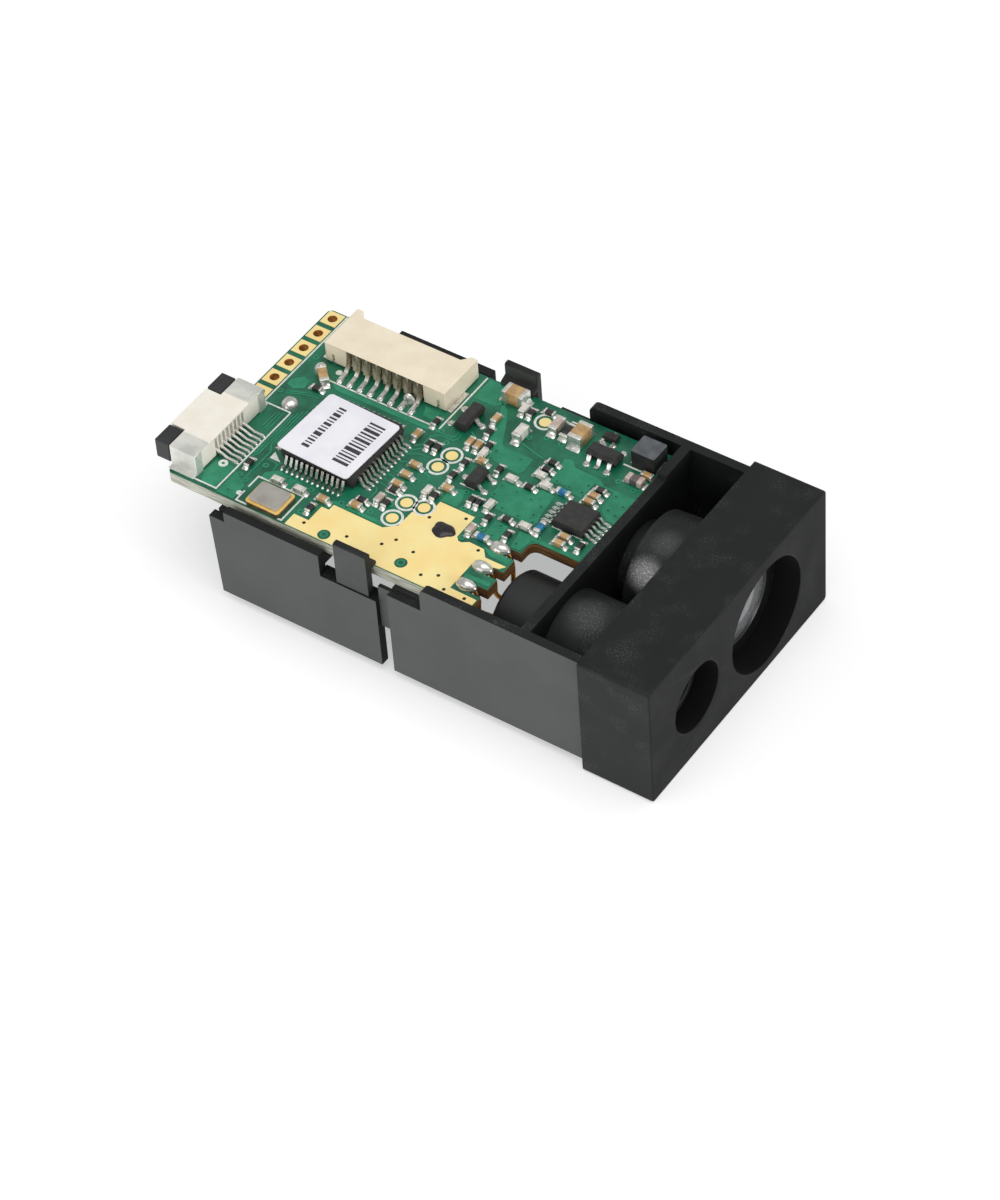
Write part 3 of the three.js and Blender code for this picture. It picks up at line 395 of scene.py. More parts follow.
SOLDER = mottled(
    "bright_solder", rgb(196, 195, 188), rgb(240, 239, 234), (0.18, 0.34), 0.85,
    blotch=2400, grain=1500,
    depth=0.014,
)
CREAM = mottled("cream_moulding", rgb(236, 222, 196), rgb(244, 232, 208), (0.42, 0.55), blotch=500)
IVORY = mottled("ivory_moulding", rgb(241, 234, 220), rgb(248, 243, 232), (0.4, 0.52), blotch=500)
SLATE = moulded_black("slider_moulding", rgb(34, 35, 36), rgb(48, 49, 51))
TAN = mottled("tan_ceramic", rgb(170, 134, 88), rgb(200, 166, 118), (0.35, 0.5), blotch=1600)
PINK = mottled("pink_ceramic", rgb(176, 156, 146), rgb(205, 188, 178), (0.35, 0.5), blotch=1600)
PALE = mottled("pale_ceramic", rgb(205, 200, 190), rgb(228, 224, 216), (0.35, 0.5), blotch=1600)
INK = mottled("resistor_glaze", rgb(34, 32, 34), rgb(56, 52, 52), (0.3, 0.45), blotch=1800)
GREY = mottled("grey_ceramic", rgb(88, 80, 82), rgb(116, 106, 106), (0.35, 0.5), blotch=1600)
CYAN = mottled("blue_ceramic", rgb(30, 96, 140), rgb(60, 150, 190), (0.25, 0.4), blotch=1500)
FERRITE = top_and_sides(
    "ferrite", (rgb(72, 76, 80), rgb(92, 96, 100)), (rgb(18, 20, 19), rgb(34, 36, 35)), (0.55, 0.7)
)
CRYSTAL = by_height(
    "crystal_ceramic", (0.42, 0.5), (rgb(74, 66, 52), rgb(104, 92, 70)),
    (rgb(238, 190, 100), rgb(250, 214, 132)), (0.3, 0.42), 0.3,
)
# Painted shade: the contacts' upper part, inside the housing's slots, darker brown.
TINE_WITH_SLOT_SHADE = by_height(
    "tine_metal", (0.15, 0.8), (rgb(196, 196, 188), rgb(226, 226, 220)),
    (rgb(112, 104, 84), rgb(150, 142, 118)), (0.22, 0.36), 0.7,
)
HOLE_GOLD = mottled("plated_hole", rgb(160, 104, 40), rgb(208, 148, 68), (0.3, 0.5), 0.3, blotch=2600)
DARK_HOLE = mottled("hole_shadow", rgb(26, 20, 12), rgb(60, 44, 22), (0.6, 0.8), blotch=2600)
VIA_GREEN = mottled("tented_via", rgb(16, 78, 56), rgb(30, 104, 78), (0.3, 0.42), blotch=2600)
RESIN = mottled(
    "dark_resin", rgb(22, 18, 22), rgb(36, 31, 36), (0.2, 0.34), blotch=900, grain=900, depth=0.06
)
PAPER = mottled(
    "label_paper_finish", rgb(232, 231, 238), rgb(243, 242, 247), (0.6, 0.78), blotch=350, grain=7000
)
PRINT = mottled("label_print", rgb(38, 40, 44), rgb(64, 66, 70), (0.5, 0.7), blotch=4200)
LID = mottled("nickel_lid", rgb(172, 168, 160), rgb(192, 188, 180), (0.3, 0.42), 0.6, grain=7000)
BOARD = laminate_board()
LENS = glass("receiver_glass", rgb(112, 114, 116), 0.06, 0.1, haze=0.06)
LENS_DARK = glass("laser_glass", rgb(58, 60, 68), 0.03, 0.5, haze=0.04)
RED_GLASS = glass("filter_glass_finish", rgb(80, 24, 34), 0.05, 0.5, haze=0.04)


# ------------------------------------------------------------------ meshes, in mm from the head's front
class Mesh:
    """Collects faces in mm and turns them into one named piece in metres."""

    def __init__(self, *finishes):
        self.bm = bmesh.new()
        self.finishes = finishes

    def prism(self, points, z0, z1, finish=0):
        """A flat-ended prism over an outline."""
        low = [self.bm.verts.new((x, y, z0)) for x, y in points]
        high = [self.bm.verts.new((x, y, z1)) for x, y in points]
        faces = [self.bm.faces.new(high), self.bm.faces.new(low[::-1])]
        for i in range(len(points)):
            j = (i + 1) % len(points)
            faces.append(self.bm.faces.new((low[i], low[j], high[j], high[i])))
        for face in faces:
            face.material_index = finish
        return self

    def ring(self, x, y, inner, outer, z0, z1, finish=0, count=28):
        """A flat washer."""
        loops = []
        for radius, z in ((inner, z0), (inner, z1), (outer, z1), (outer, z0)):
            turn = [math.tau * i / count for i in range(count)]
            points = [(x + radius * math.cos(a), y + radius * math.sin(a), z) for a in turn]
            loops.append([self.bm.verts.new(point) for point in points])
        for k in range(4):
            first, second = loops[k], loops[(k + 1) % 4]
            for i in range(count):
                j = (i + 1) % count
                face = self.bm.faces.new((first[i], first[j], second[j], second[i]))
                face.material_index = finish
        return self

    def disc(self, x, y, radius, z0, z1, finish=0, count=24):
        points = [
            (x + radius * math.cos(math.tau * i / count), y + radius * math.sin(math.tau * i / count))
            for i in range(count)
        ]
        return self.prism(points, z0, z1, finish)

    def strip(self, points, width, z0, z1):
        """A line of constant width through points, with mitred corners."""
        path = [Vector(p) for p in points]
        left, right = [], []
        for i, point in enumerate(path):
            before = (point - path[i - 1]).normalized() if i else None
            after = (path[i + 1] - point).normalized() if i + 1 < len(path) else None
            along = ((before or after) + (after or before)).normalized()
            across = Vector((-along.y, along.x))
            stretch = 1 / max(0.4, across.dot(Vector((-(after or before).y, (after or before).x))))
            left.append(point + across * width / 2 * stretch)
            right.append(point - across * width / 2 * stretch)
        for i in range(len(path) - 1):
            quad = [left[i], right[i], right[i + 1], left[i + 1]]
            self.prism([(p.x, p.y) for p in quad], z0, z1)
        return self

    def block(self, centre, size, turn=0.0, edge=0.04, finish=0, segments=2):
        """A box with rounded edges. centre is the middle of its underside."""
        made = bmesh.ops.create_cube(self.bm, size=1.0)["verts"]
        spin = Matrix.Rotation(math.radians(turn), 4, "Z")
        lift = Matrix.Translation((centre[0], centre[1], centre[2] + size[2] / 2))
        bmesh.ops.transform(self.bm, matrix=lift @ spin @ Matrix.Diagonal((*size, 1)), verts=made)
        edges = list({e for v in made for e in v.link_edges})
        faces = {f for v in made for f in v.link_faces}
        if edge:
            cut = bmesh.ops.bevel(
                self.bm, geom=edges, offset=edge, segments=segments, profile=0.5, affect="EDGES"
            )
            faces = {f for v in cut["verts"] for f in v.link_faces}
        for face in faces:
            face.material_index = finish
        return self

    def wedge(self, start, turn, width, height, reach):
        """A solder fillet that climbs from reach down on the board up to height at start."""
        slope = [(reach, 0.05), (reach * 0.6, 0.1), (reach * 0.28, height * 0.5), (0, height)]
        profile = [(0, 0), (reach, 0), *slope]
        spin = Matrix.Rotation(math.radians(turn), 4, "Z")
        rows = []
        for side, inset in ((-0.5, 0.0), (-0.32, 1.0), (0.32, 1.0), (0.5, 0.0)):
            grow = 0.55 + 0.45 * inset
            longer = 0.86 + 0.14 * inset
            points = [Vector((u * longer, side * width, v * grow)) for u, v in profile]
            rows.append([self.bm.verts.new(Vector(start) + spin @ point) for point in points])
        count = len(profile)
        for first, second in zip(rows, rows[1:]):
            for i in range(count):
                j = (i + 1) % count
                self.bm.faces.new((first[i], second[i], second[j], first[j]))
        for row, order in ((rows[0], 1), (rows[-1], -1)):
            self.bm.faces.new(row[::order])
        return self

    def blob(self, centre, size, turn=0.0, finish=0, lumps=0.0, rings=10, count=24):
        """A dome of solder or resin, flat underneath, with a slightly uneven outline."""
        spin = Matrix.Rotation(math.radians(turn), 4, "Z")
        rows = []
        for k in range(rings):
            lift = math.pi / 2 * k / rings
            row = []
            for i in range(count):
                angle = math.tau * i / count
                wave = 1 + lumps * (math.sin(3 * angle + 0.7) + 0.6 * math.sin(5 * angle + 2.1))
                out = math.cos(lift) * wave
                u, v = math.cos(angle) * out * size[0], math.sin(angle) * out * size[1]
                local = Vector((u, v, math.sin(lift) * size[2]))
                row.append(self.bm.verts.new(Vector(centre) + spin @ local))
            rows.append(row)
        top = self.bm.verts.new(Vector(centre) + Vector((0, 0, size[2])))
        faces = [self.bm.faces.new(rows[0][::-1])]
        for first, second in zip(rows, rows[1:]):
            for i in range(count):
                j = (i + 1) % count
                faces.append(self.bm.faces.new((first[i], first[j], second[j], second[i])))
        for i in range(count):
            faces.append(self.bm.faces.new((rows[-1][i], rows[-1][(i + 1) % count], top)))
        for face in faces:
            face.material_index = finish
        return self

    def piece(self, name, body="housing"):
        bmesh.ops.recalc_face_normals(self.bm, faces=self.bm.faces[:])
        for vert in self.bm.verts:
            vert.co = Vector(((vert.co.x + FRONT) * MM, vert.co.y * MM, vert.co.z * MM))
        mesh = bpy.data.meshes.new(name)
        self.bm.to_mesh(mesh)
        self.bm.free()
        for finish in self.finishes:
            mesh.materials.append(finish)
        for polygon in mesh.polygons:
            polygon.use_smooth = True
        mesh.set_sharp_from_angle(angle=math.radians(SMOOTH_ANGLE))
        obj = bpy.data.objects.new(name, mesh)
        bpy.context.scene.collection.objects.link(obj)
        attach(obj, body)
        return obj


# ------------------------------------------------------------------ the CAD nodes' own finishes
def dress(node, finish, edge=0.0):
    """Gives a CAD node its material, softened edges and smooth shading."""
    obj = NODES[node]
    for i in range(len(obj.material_slots)):
        obj.material_slots[i].material = finish
    weld = obj.modifiers.new("weld", "WELD")
    weld.merge_threshold = 0.0005 * MM
    if edge:
        bevel = obj.modifiers.new("edge", "BEVEL")
        bevel.width = edge * MM
        bevel.segments = 2
        bevel.limit_method = "ANGLE"
        bevel.angle_limit = math.radians(40)
        bevel.use_clamp_overlap = True
    if "custom_normal" in obj.data.attributes:
        obj.data.attributes.remove(obj.data.attributes["custom_normal"])
    for name in ("sharp_edge", "sharp_face"):
        if name in obj.data.attributes:
            obj.data.attributes.remove(obj.data.attributes[name])
    for polygon in obj.data.polygons:
        polygon.use_smooth = True
    shade = obj.modifiers.new("shade", "WEIGHTED_NORMAL" if edge else "EDGE_SPLIT")
    if edge:
        shade.weight = 100
    else:
        shade.split_angle = math.radians(SMOOTH_ANGLE)


dress("chassis", CHASSIS, 0.08)
dress("snap_clip_right", CLIP_BLACK, 0.06)
dress("snap_clip_left", CLIP_BLACK, 0.06)
dress("laser_barrel", BLACK_SMOOTH, 0.06)
dress("receiver_lens_ring", RING_BLACK, 0.05)
dress("optical_filter", RED_GLASS)
dress("photodiode", PLATE)
dress("laser_diode", mottled("gilt_can", rgb(196, 152, 84), rgb(224, 184, 116), (0.24, 0.4), 1.0))
dress("circuit_board", BOARD)
dress("crystal_base", CRYSTAL, 0.04)
dress("crystal_lid", LID, 0.04)
dress("power_inductor", FERRITE)
dress("chip_label", PAPER)
dress("ribbon_connector_housing", IVORY, 0.05)
dress("ribbon_lock_slider", SLATE, 0.08)
dress("ribbon_nail_right", PLATE, 0.03)
dress("ribbon_nail_left", PLATE, 0.03)
dress("wire_connector_housing", CREAM, 0.06)
dress("wire_tab_front", TIN, 0.03)
dress("wire_tab_rear", TIN, 0.03)
for number in range(1, 9):
    dress(f"ribbon_contact_{number}", TIN)
    dress(f"wire_contact_{number}", TINE_WITH_SLOT_SHADE)

# Leaded chips: name, middle and half size of the moulded body.
for chip_name, middle, half_size in (
    ("microcontroller", (-35.9, -1.67), (3.505, 3.505)),
    ("amplifier_chip", (-15.45, 0.9), (1.43, 1.355)),
    ("power_switch_chip", (-28.98, 6.0), (0.555, 1.43)),
    ("regulator_chip", (-17.45, 7.97), (1.43, 0.605)),
    ("transistor_chip", (-24.62, 0.66), (0.565, 0.99)),
    ("diode_chip", (-18.2, 10.05), (0.655, 0.405)),
):
    dress(chip_name, leaded_chip(f"{chip_name}_finish", middle, half_size))


# ------------------------------------------------------------------ lenses
def lens(name, node, finish, centre_y, stations, dome, radius):
    """A smooth plano-convex lens: a dome, a short cylinder below it and a flat seat round both.

    The stations are the X of the crown, of the dome's edge, of the seat and of the rear face.
    """
    crown, edge, rim, rear = stations
    mesh = Mesh(finish)
    count, steps = 72, 14
    shares = [k / steps for k in range(1, steps + 1)]
    profile = [(dome * share, crown + (edge - crown) * share ** 2) for share in shares]
    profile += [(dome, rim), (radius, rim), (radius, rear)]
    angles = [math.tau * i / count for i in range(count)]
    rows = []
    for r, x in profile:
        points = [(x, centre_y + r * math.cos(a), OPTICS_Z + r * math.sin(a)) for a in angles]
        rows.append([mesh.bm.verts.new(point) for point in points])
    tip = mesh.bm.verts.new((crown, centre_y, OPTICS_Z))
    for i in range(count):
        mesh.bm.faces.new((tip, rows[0][i], rows[0][(i + 1) % count]))
    for first, second in zip(rows, rows[1:]):
        for i in range(count):
            j = (i + 1) % count
            mesh.bm.faces.new((first[i], second[i], second[j], first[j]))
    mesh.bm.faces.new(rows[-1])
    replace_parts(mesh.piece(name), node)


lens("receiver_lens_glass", "receiver_lens", LENS, RECEIVER_Y, (-1.75, -2.5, -3.45, -4.65), 3.4, 4.9)
lens("laser_lens_glass", "laser_lens", LENS_DARK, LASER_Y, (-2.2, -2.6, -2.85, -4.65), 2.45, 2.85)

# ------------------------------------------------------------------ copper and print on the board's top
SKIN = 0.022  # how far solder mask over copper stands above bare mask
BARE = 0.03  # bare copper
INK_TOP = 0.036  # printed ink
TRACE_WIDTH = 0.13
PRINT_WIDTH = 0.14

POURS = [
    [(-30.3, 8.4), (-28.4, 8.4), (-27.7, 9.0), (-26.3, 10.85), (-30.3, 10.85)],
    [
        (-28.0, 9.1), (-27.1, 8.6), (-26.2, 7.0), (-25.4, 5.3), (-25.0, 5.0), (-22.25, 5.0),
        (-22.15, 3.5), (-22.5, 3.05), (-24.6, 3.2), (-25.5, 3.6), (-26.2, 4.6), (-26.9, 5.9),
        (-27.3, 7.6),
    ],
    [
        (-20.25, 6.35), (-19.6, 6.6), (-18.9, 5.95), (-16.5, 5.9), (-15.9, 5.4), (-12.9, 5.4),
        (-12.9, 2.3), (-13.6, 2.3), (-14.7, 3.2), (-14.8, 5.2), (-16.6, 5.3), (-16.7, 3.4),
        (-17.5, 3.4), (-18.2, 3.9), (-19.2, 3.9), (-19.75, 3.5), (-19.95, 5.4),
    ],
    [
        (-22.95, 1.85), (-20.2, 1.9), (-19.75, 2.6), (-18.5, 2.5), (-18.3, 0.2), (-18.05, -0.65),
        (-18.4, -1.05), (-21.8, -1.05), (-22.0, -0.3), (-22.95, 0.05),
    ],
    [(-26.0, -0.95), (-24.95, -0.6), (-24.45, -1.6), (-24.45, -2.5), (-25.9, -2.5)],
    [(-21.0, -2.15), (-19.75, -2.15), (-19.6, -4.0), (-20.9, -4.0)],
    [(-18.7, -2.1), (-13.0, -1.95), (-13.0, -2.45), (-17.35, -2.45), (-17.6, -3.85), (-18.4, -3.9)],
    [(-43.7, -7.95), (-41.95, -7.95), (-41.95, -10.45), (-43.4, -10.45), (-43.9, -9.4)],
    [(-41.65, -8.2), (-40.1, -9.1), (-40.0, -10.8), (-41.65, -10.8)],
    [(-44.2, 2.6), (-43.4, 3.4), (-42.7, 3.2), (-42.6, 2.3), (-43.4, 1.8), (-44.1, 2.0)],
    [(-41.0, 3.9), (-31.2, 3.9), (-31.4, 3.45), (-40.3, 3.4)],
    [(-33.0, 5.6), (-31.5, 5.6), (-31.5, 4.6), (-32.6, 4.6)],
    [(-39.6, -7.1), (-38.8, -6.4), (-36.4, -6.6), (-35.2, -7.4), (-35.25, -7.7), (-39.6, -7.7)],
    [(-33.3, -7.1), (-28.2, -7.15), (-28.7, -6.75), (-32.9, -6.8)],
    [(-20.2, -4.95), (-19.2, -5.55), (-17.5, -5.6), (-17.5, -4.95)],
    [(-19.75, -8.0), (-17.5, -7.9), (-17.4, -8.3), (-19.7, -8.4)],
]
TRACES = [
    [(-41.55, -0.7), (-41.55, -5.6), (-41.9, -5.9)],
    [(-41.3, -0.3), (-41.3, -5.6), (-41.6, -6.2)],
    [(-41.05, 0.0), (-41.05, -4.3), (-40.6, -5.0), (-40.6, -8.4)],
    [(-40.8, 0.3), (-40.8, -4.0)],
    [(-42.9, -1.1), (-42.9, -2.9)],
    [(-42.6, -1.0), (-42.6, -3.1)],
    [(-42.3, -0.9), (-42.3, -3.3)],
    [(-43.5, 1.4), (-42.2, 1.9), (-41.4, 2.2), (-40.9, 2.2)],
    [(-43.6, 1.1), (-42.4, 1.6), (-41.3, 1.9), (-40.9, 1.9)],
    [(-31.2, 1.45), (-30.7, 1.9), (-30.7, 3.0), (-30.1, 3.5), (-28.9, 3.5), (-28.7, 3.8), (-28.7, 4.4)],
    [(-31.2, 0.9), (-30.4, 1.6), (-30.4, 1.5)],
    [(-31.2, 0.35), (-30.3, 0.9), (-29.4, 0.9)],
    [(-31.0, 4.0), (-30.6, 3.7), (-29.2, 3.75), (-29.0, 4.0), (-29.0, 4.5)],
    [(-31.2, -0.6), (-30.6, -0.3)],
    [(-31.2, -1.65), (-30.5, -1.65)],
    [(-31.2, -2.2), (-30.4, -2.3), (-28.7, -2.2), (-28.3, -2.6)],
    [(-31.2, -2.75), (-30.6, -2.9)],
    [(-31.2, -3.3), (-30.3, -3.5)],
    [(-31.1, -3.85), (-30.8, -4.3), (-30.8, -5.2)],
    [(-28.2, 5.1), (-27.4, 4.6), (-27.4, 4.3)],
    [(-24.2, 6.1), (-21.6, 5.45)],
    [(-22.3, 4.95), (-22.3, 3.2)],
    [(-26.2, 3.0), (-25.2, 2.3), (-25.0, 2.1)],
    [(-23.6, 1.2), (-22.9, 1.2)],
    [(-28.7, -0.7), (-28.2, -0.8), (-28.0, -1.2), (-28.0, -1.9)],
    [(-38.6, -6.3), (-38.1, -7.0), (-37.0, -7.0)],
    [(-37.0, -6.2), (-37.0, -6.6)],
    [(-39.2, -6.6), (-39.2, -5.8), (-38.9, -5.4)],
    [(-40.4, -5.8), (-39.5, -5.8), (-39.3, -6.0)],
    [(-22.8, -2.9), (-22.1, -2.2)],
    [(-14.5, 6.3), (-13.2, 6.3)],
    [(-19.1, 1.9), (-18.6, 2.3), (-18.4, 2.8)],
]
VIAS = [
    (-40.0, -6.45), (-37.6, -6.75), (-40.4, -8.6), (-41.2, -8.3), (-40.95, -10.2), (-16.5, 6.4),
    (-15.15, 6.4), (-13.6, 6.15), (-22.7, 7.55), (-21.3, 7.55), (-14.1, 3.3), (-13.3, 3.1),
    (-13.3, 4.2), (-14.4, 4.9), (-16.9, 3.9), (-16.9, 4.8), (-18.1, 3.9), (-19.3, 3.95),
    (-22.7, 0.2), (-22.7, 1.3), (-21.3, 1.3), (-19.9, 1.2), (-18.8, 0.95), (-18.8, -0.1),
    (-18.4, -0.85), (-19.8, -0.8), (-21.3, -0.75), (-28.8, -0.5), (-28.75, -1.75), (-29.9, -6.4),
    (-32.4, -6.8), (-22.2, -5.0), (-21.4, -3.4), (-20.3, -2.4), (-20.3, -3.6), (-18.2, -3.4),
    (-23.9, -2.3), (-23.1, -2.3), (-24.7, -0.7), (-25.3, 4.3), (-23.1, 4.5), (-28.4, 9.2),
    (-34.6, -9.2), (-25.2, 3.4), (-18.5, 8.9), (-35.3, -6.8), (-31.8, -7.0), (-30.3, 3.9),
    (-29.2, 3.0), (-14.3, -1.5), (-17.0, -2.1), (-43.9, 5.7), (-44.1, 1.1), (-33.8, 4.6),
    (-23.9, 6.9), (-29.0, -4.9),
]
GOLD_POUR = [
    (-34.9, -10.9), (-34.9, -9.65), (-33.5, -9.65), (-33.5, -7.9), (-32.8, -7.9), (-32.8, -7.25),
    (-28.1, -7.3), (-27.15, -6.5), (-27.1, -4.7), (-26.2, -4.7), (-25.85, -4.4), (-25.85, -2.65),
    (-22.55, -2.65), (-22.55, -5.1), (-22.2, -5.45), (-21.9, -5.45), (-21.4, -5.1), (-20.0, -5.15),
    (-19.4, -5.85), (-17.45, -5.85), (-17.8, -6.3), (-18.6, -6.5), (-19.9, -6.9), (-19.9, -9.9),
    (-17.4, -9.95), (-17.4, -10.9),
]
GOLD_VIAS = [
    (-33.65, -10.05), (-29.9, -9.55), (-27.1, -8.8), (-26.4, -7.85), (-24.5, -8.25), (-25.6, -4.5),
    (-23.05, -3.15), (-20.3, -5.5), (-21.4, -9.3), (-22.6, -9.95), (-18.3, -10.3), (-20.2, -10.3),
]
TEST_PADS = [
    (-28.0, 2.05), (-28.25, 0.45), (-28.05, -4.1), (-26.55, -3.85), (-28.05, -6.05), (-23.8, 9.0),
]
SILK_LINES = [
    [(-44.5, 10.9), (-44.5, -0.5)],
    [(-42.2, 4.05), (-31.4, 4.05)],
    [(-30.6, 4.0), (-30.6, 10.85)],
    [(-44.4, -0.6), (-41.9, -0.6), (-41.85, -0.7), (-41.85, -10.55), (-46.2, -10.55)],
    [
        (-39.75, -9.1), (-39.75, -7.75), (-35.35, -7.75), (-35.35, -10.75), (-39.75, -10.75),
        (-39.75, -9.6),
    ],
    [(-25.7, -0.15), (-24.3, -0.15)],
    [(-16.9, -0.35), (-16.0, -0.35)],
    [(-15.0, -0.35), (-14.1, -0.35)],
    [(-15.9, 8.25), (-14.2, 8.25)],
    [(-30.2, -3.85), (-29.2, -3.85)],
    [(-22.0, 10.15), (-21.5, 10.15)],
]

art = Mesh(MASK_LIGHT)
for outline in POURS:
    art.prism(outline, BOARD_TOP, BOARD_TOP + SKIN)
for line in TRACES:
    art.strip(line, TRACE_WIDTH, BOARD_TOP, BOARD_TOP + SKIN * 1.2)
art.piece("mask_over_copper")

vias = Mesh(MASK_LIGHT, VIA_GREEN)
for x, y in VIAS:
    vias.ring(x, y, 0.12, 0.27, BOARD_TOP, BOARD_TOP + 0.04, 0, 18)
    vias.disc(x, y, 0.13, BOARD_TOP, BOARD_TOP + 0.025, 1, 14)
for x, y in ((-31.55, -10.3), (-24.65, -9.7)):
    vias.disc(x, y, 0.52, BOARD_TOP, BOARD_TOP + BARE + 0.01, 1, 30)
    vias.ring(x, y, 0.2, 0.34, BOARD_TOP, BOARD_TOP + BARE + 0.03, 0, 22)
vias.piece("tented_vias")

gold = Mesh(GOLD, DARK_HOLE)
gold.prism(GOLD_POUR, BOARD_TOP, BOARD_TOP + BARE)
for x, y in GOLD_VIAS:
    gold.disc(x, y, 0.15, BOARD_TOP, BOARD_TOP + BARE + 0.006, 1, 16)
for x, y in TEST_PADS:
    gold.disc(x, y, 0.5, BOARD_TOP, BOARD_TOP + BARE, 0, 32)
gold.piece("gilt_ground_pour")

print_layer = Mesh(SILK)
for line in SILK_LINES:
    print_layer.strip(line, PRINT_WIDTH, BOARD_TOP, BOARD_TOP + INK_TOP)
for x, y in TEST_PADS:
    print_layer.ring(x, y, 0.72, 0.92, BOARD_TOP, BOARD_TOP + 0.04, 0, 40)
print_layer.disc(-41.25, 5.2, 0.28, BOARD_TOP, BOARD_TOP + INK_TOP)
print_layer.disc(-40.0, -10.0, 0.24, BOARD_TOP, BOARD_TOP + INK_TOP)
print_layer.ring(-43.05, -8.0, 0.14, 0.4, BOARD_TOP, BOARD_TOP + 0.04)
print_layer.prism([(-40.25, -4.85), (-40.25, -5.6), (-39.2, -5.6)], BOARD_TOP, BOARD_TOP + INK_TOP)
print_layer.piece("printed_outlines")


def holed_pad(mesh, x, y, half, radius, z0, z1):
    """A square pad with a round hole."""
    count = 28
    angles = [math.tau * (i + 0.5) / count for i in range(count)]
    edge = [max(abs(math.cos(a)), abs(math.sin(a))) for a in angles]
    outer = [(x + half * math.cos(a) / e, y + half * math.sin(a) / e) for a, e in zip(angles, edge)]
    inner = [(x + radius * math.cos(a), y + radius * math.sin(a)) for a in angles]
    rows = [
        [mesh.bm.verts.new((u, v, z)) for u, v in loop]
        for loop, z in ((outer, z0), (outer, z1), (inner, z1), (inner, z0))
    ]
    for k in range(4):
        for i in range(count):
            j = (i + 1) % count
            first, second = rows[k], rows[(k + 1) % 4]
            mesh.bm.faces.new((first[i], first[j], second[j], second[i]))


HOLES = {"x": -45.45, "first_y": 10.1, "pitch": 2, "count": 6, "radius": 0.42}
pads = Mesh(GOLD, HOLE_GOLD)
for i in range(HOLES["count"]):
    x, y, radius = HOLES["x"], HOLES["first_y"] - HOLES["pitch"] * i, HOLES["radius"]
    holed_pad(pads, x, y, 0.76, radius, BOARD_TOP, BOARD_TOP + 0.04)
    holed_pad(pads, x, y, 0.7, radius, BOARD_UNDER - 0.04, BOARD_UNDER)
    pads.ring(x, y, radius - 0.02, radius + 0.024, BOARD_UNDER - 0.03, BOARD_TOP + 0.03, 1)
pads.piece("plated_solder_pads")

# ------------------------------------------------------------------ small passive parts
# For each kind: length, width, height, the body's place in the list of finishes, terminal length.
KINDS = {
    "tan": (1.05, 0.55, 0.5, 0, 0.24),
    "pink": (1.05, 0.55, 0.5, 1, 0.24),
    "pale": (1.05, 0.58, 0.5, 2, 0.26),
    "dark": (1.0, 0.52, 0.36, 3, 0.2),
    "blue": (1.25, 0.55, 0.45, 4, 0.34),
    "long_tan": (1.9, 0.8, 0.75, 0, 0.4),
    "long_dark": (1.6, 0.82, 0.45, 3, 0.3),
    "array": (1.5, 0.8, 0.6, 6, 0.45),
}
TIN_PLACE = 5
PINK_ENDS = {"array": 1}
# Kind, x, y and turn in degrees.
PASSIVES = [
    ("long_tan", -41.9, 3.95, -45), ("tan", -31.6, 2.4, 90), ("tan", -27.45, 3.85, 90),
    ("tan", -26.7, 3.85, 90), ("tan", -27.2, 7.1, 90), ("tan", -29.7, -0.5, 0),
    ("tan", -29.7, -1.75, 0), ("tan", -29.7, -2.95, 0), ("tan", -26.05, -1.3, 0),
    ("tan", -31.15, -6.55, 0), ("tan", -33.75, -7.35, 0), ("tan", -15.75, 3.85, 0),
    ("tan", -15.75, 3.1, 0), ("tan", -15.25, -1.05, 0), ("tan", -15.25, -1.85, 0),
    ("tan", -13.4, 7.85, 0), ("tan", -25.45, 2.55, 0), ("pink", -30.0, -5.0, 90),
    ("pale", -22.2, -1.15, 90), ("pale", -27.25, -2.4, 90), ("pink", -21.95, -4.05, 90),
    ("pale", -22.3, 2.15, 0), ("pale", -20.6, 3.65, 0), ("pale", -19.6, 2.9, 0),
    ("pale", -18.5, -1.65, 0), ("pale", -25.85, 3.3, 90), ("pale", -38.0, -7.5, 0),
    ("pale", -35.9, -7.45, 0), ("pale", -25.9, 9.15, 90), ("dark", -41.2, -7.0, 90),
    ("dark", -34.1, -8.6, 90), ("dark", -31.15, 4.4, 90), ("dark", -30.15, 2.05, 90),
    ("dark", -29.4, 2.05, 90), ("dark", -26.85, 5.6, 90), ("dark", -23.8, 2.55, 90),
    ("dark", -26.55, 1.75, 90), ("dark", -26.6, 0.15, 90), ("dark", -29.6, -3.6, 0),
    ("dark", -29.3, -5.1, 90), ("dark", -31.1, -5.8, 0), ("dark", -26.5, -2.5, 90),
    ("dark", -23.75, -1.35, 90), ("dark", -23.1, -1.35, 90), ("dark", -20.2, -1.7, 0),
    ("dark", -21.55, -2.35, 90), ("dark", -19.2, -3.1, 90), ("dark", -20.6, 5.35, 0),
    ("dark", -20.6, 4.5, 0), ("dark", -20.7, 2.15, 0), ("dark", -15.7, 4.7, 0),
    ("dark", -13.7, -1.2, 90), ("dark", -25.2, 9.15, 90), ("dark", -24.0, 9.95, 0),
    ("dark", -26.0, 4.3, 90), ("dark", -41.6, 2.65, 0), ("long_dark", -21.5, 8.85, 90),
    ("blue", -18.05, 2.95, 0), ("blue", -17.45, -1.15, 90), ("blue", -20.75, -4.35, 0),
    ("array", -13.95, 6.95, 0),
]


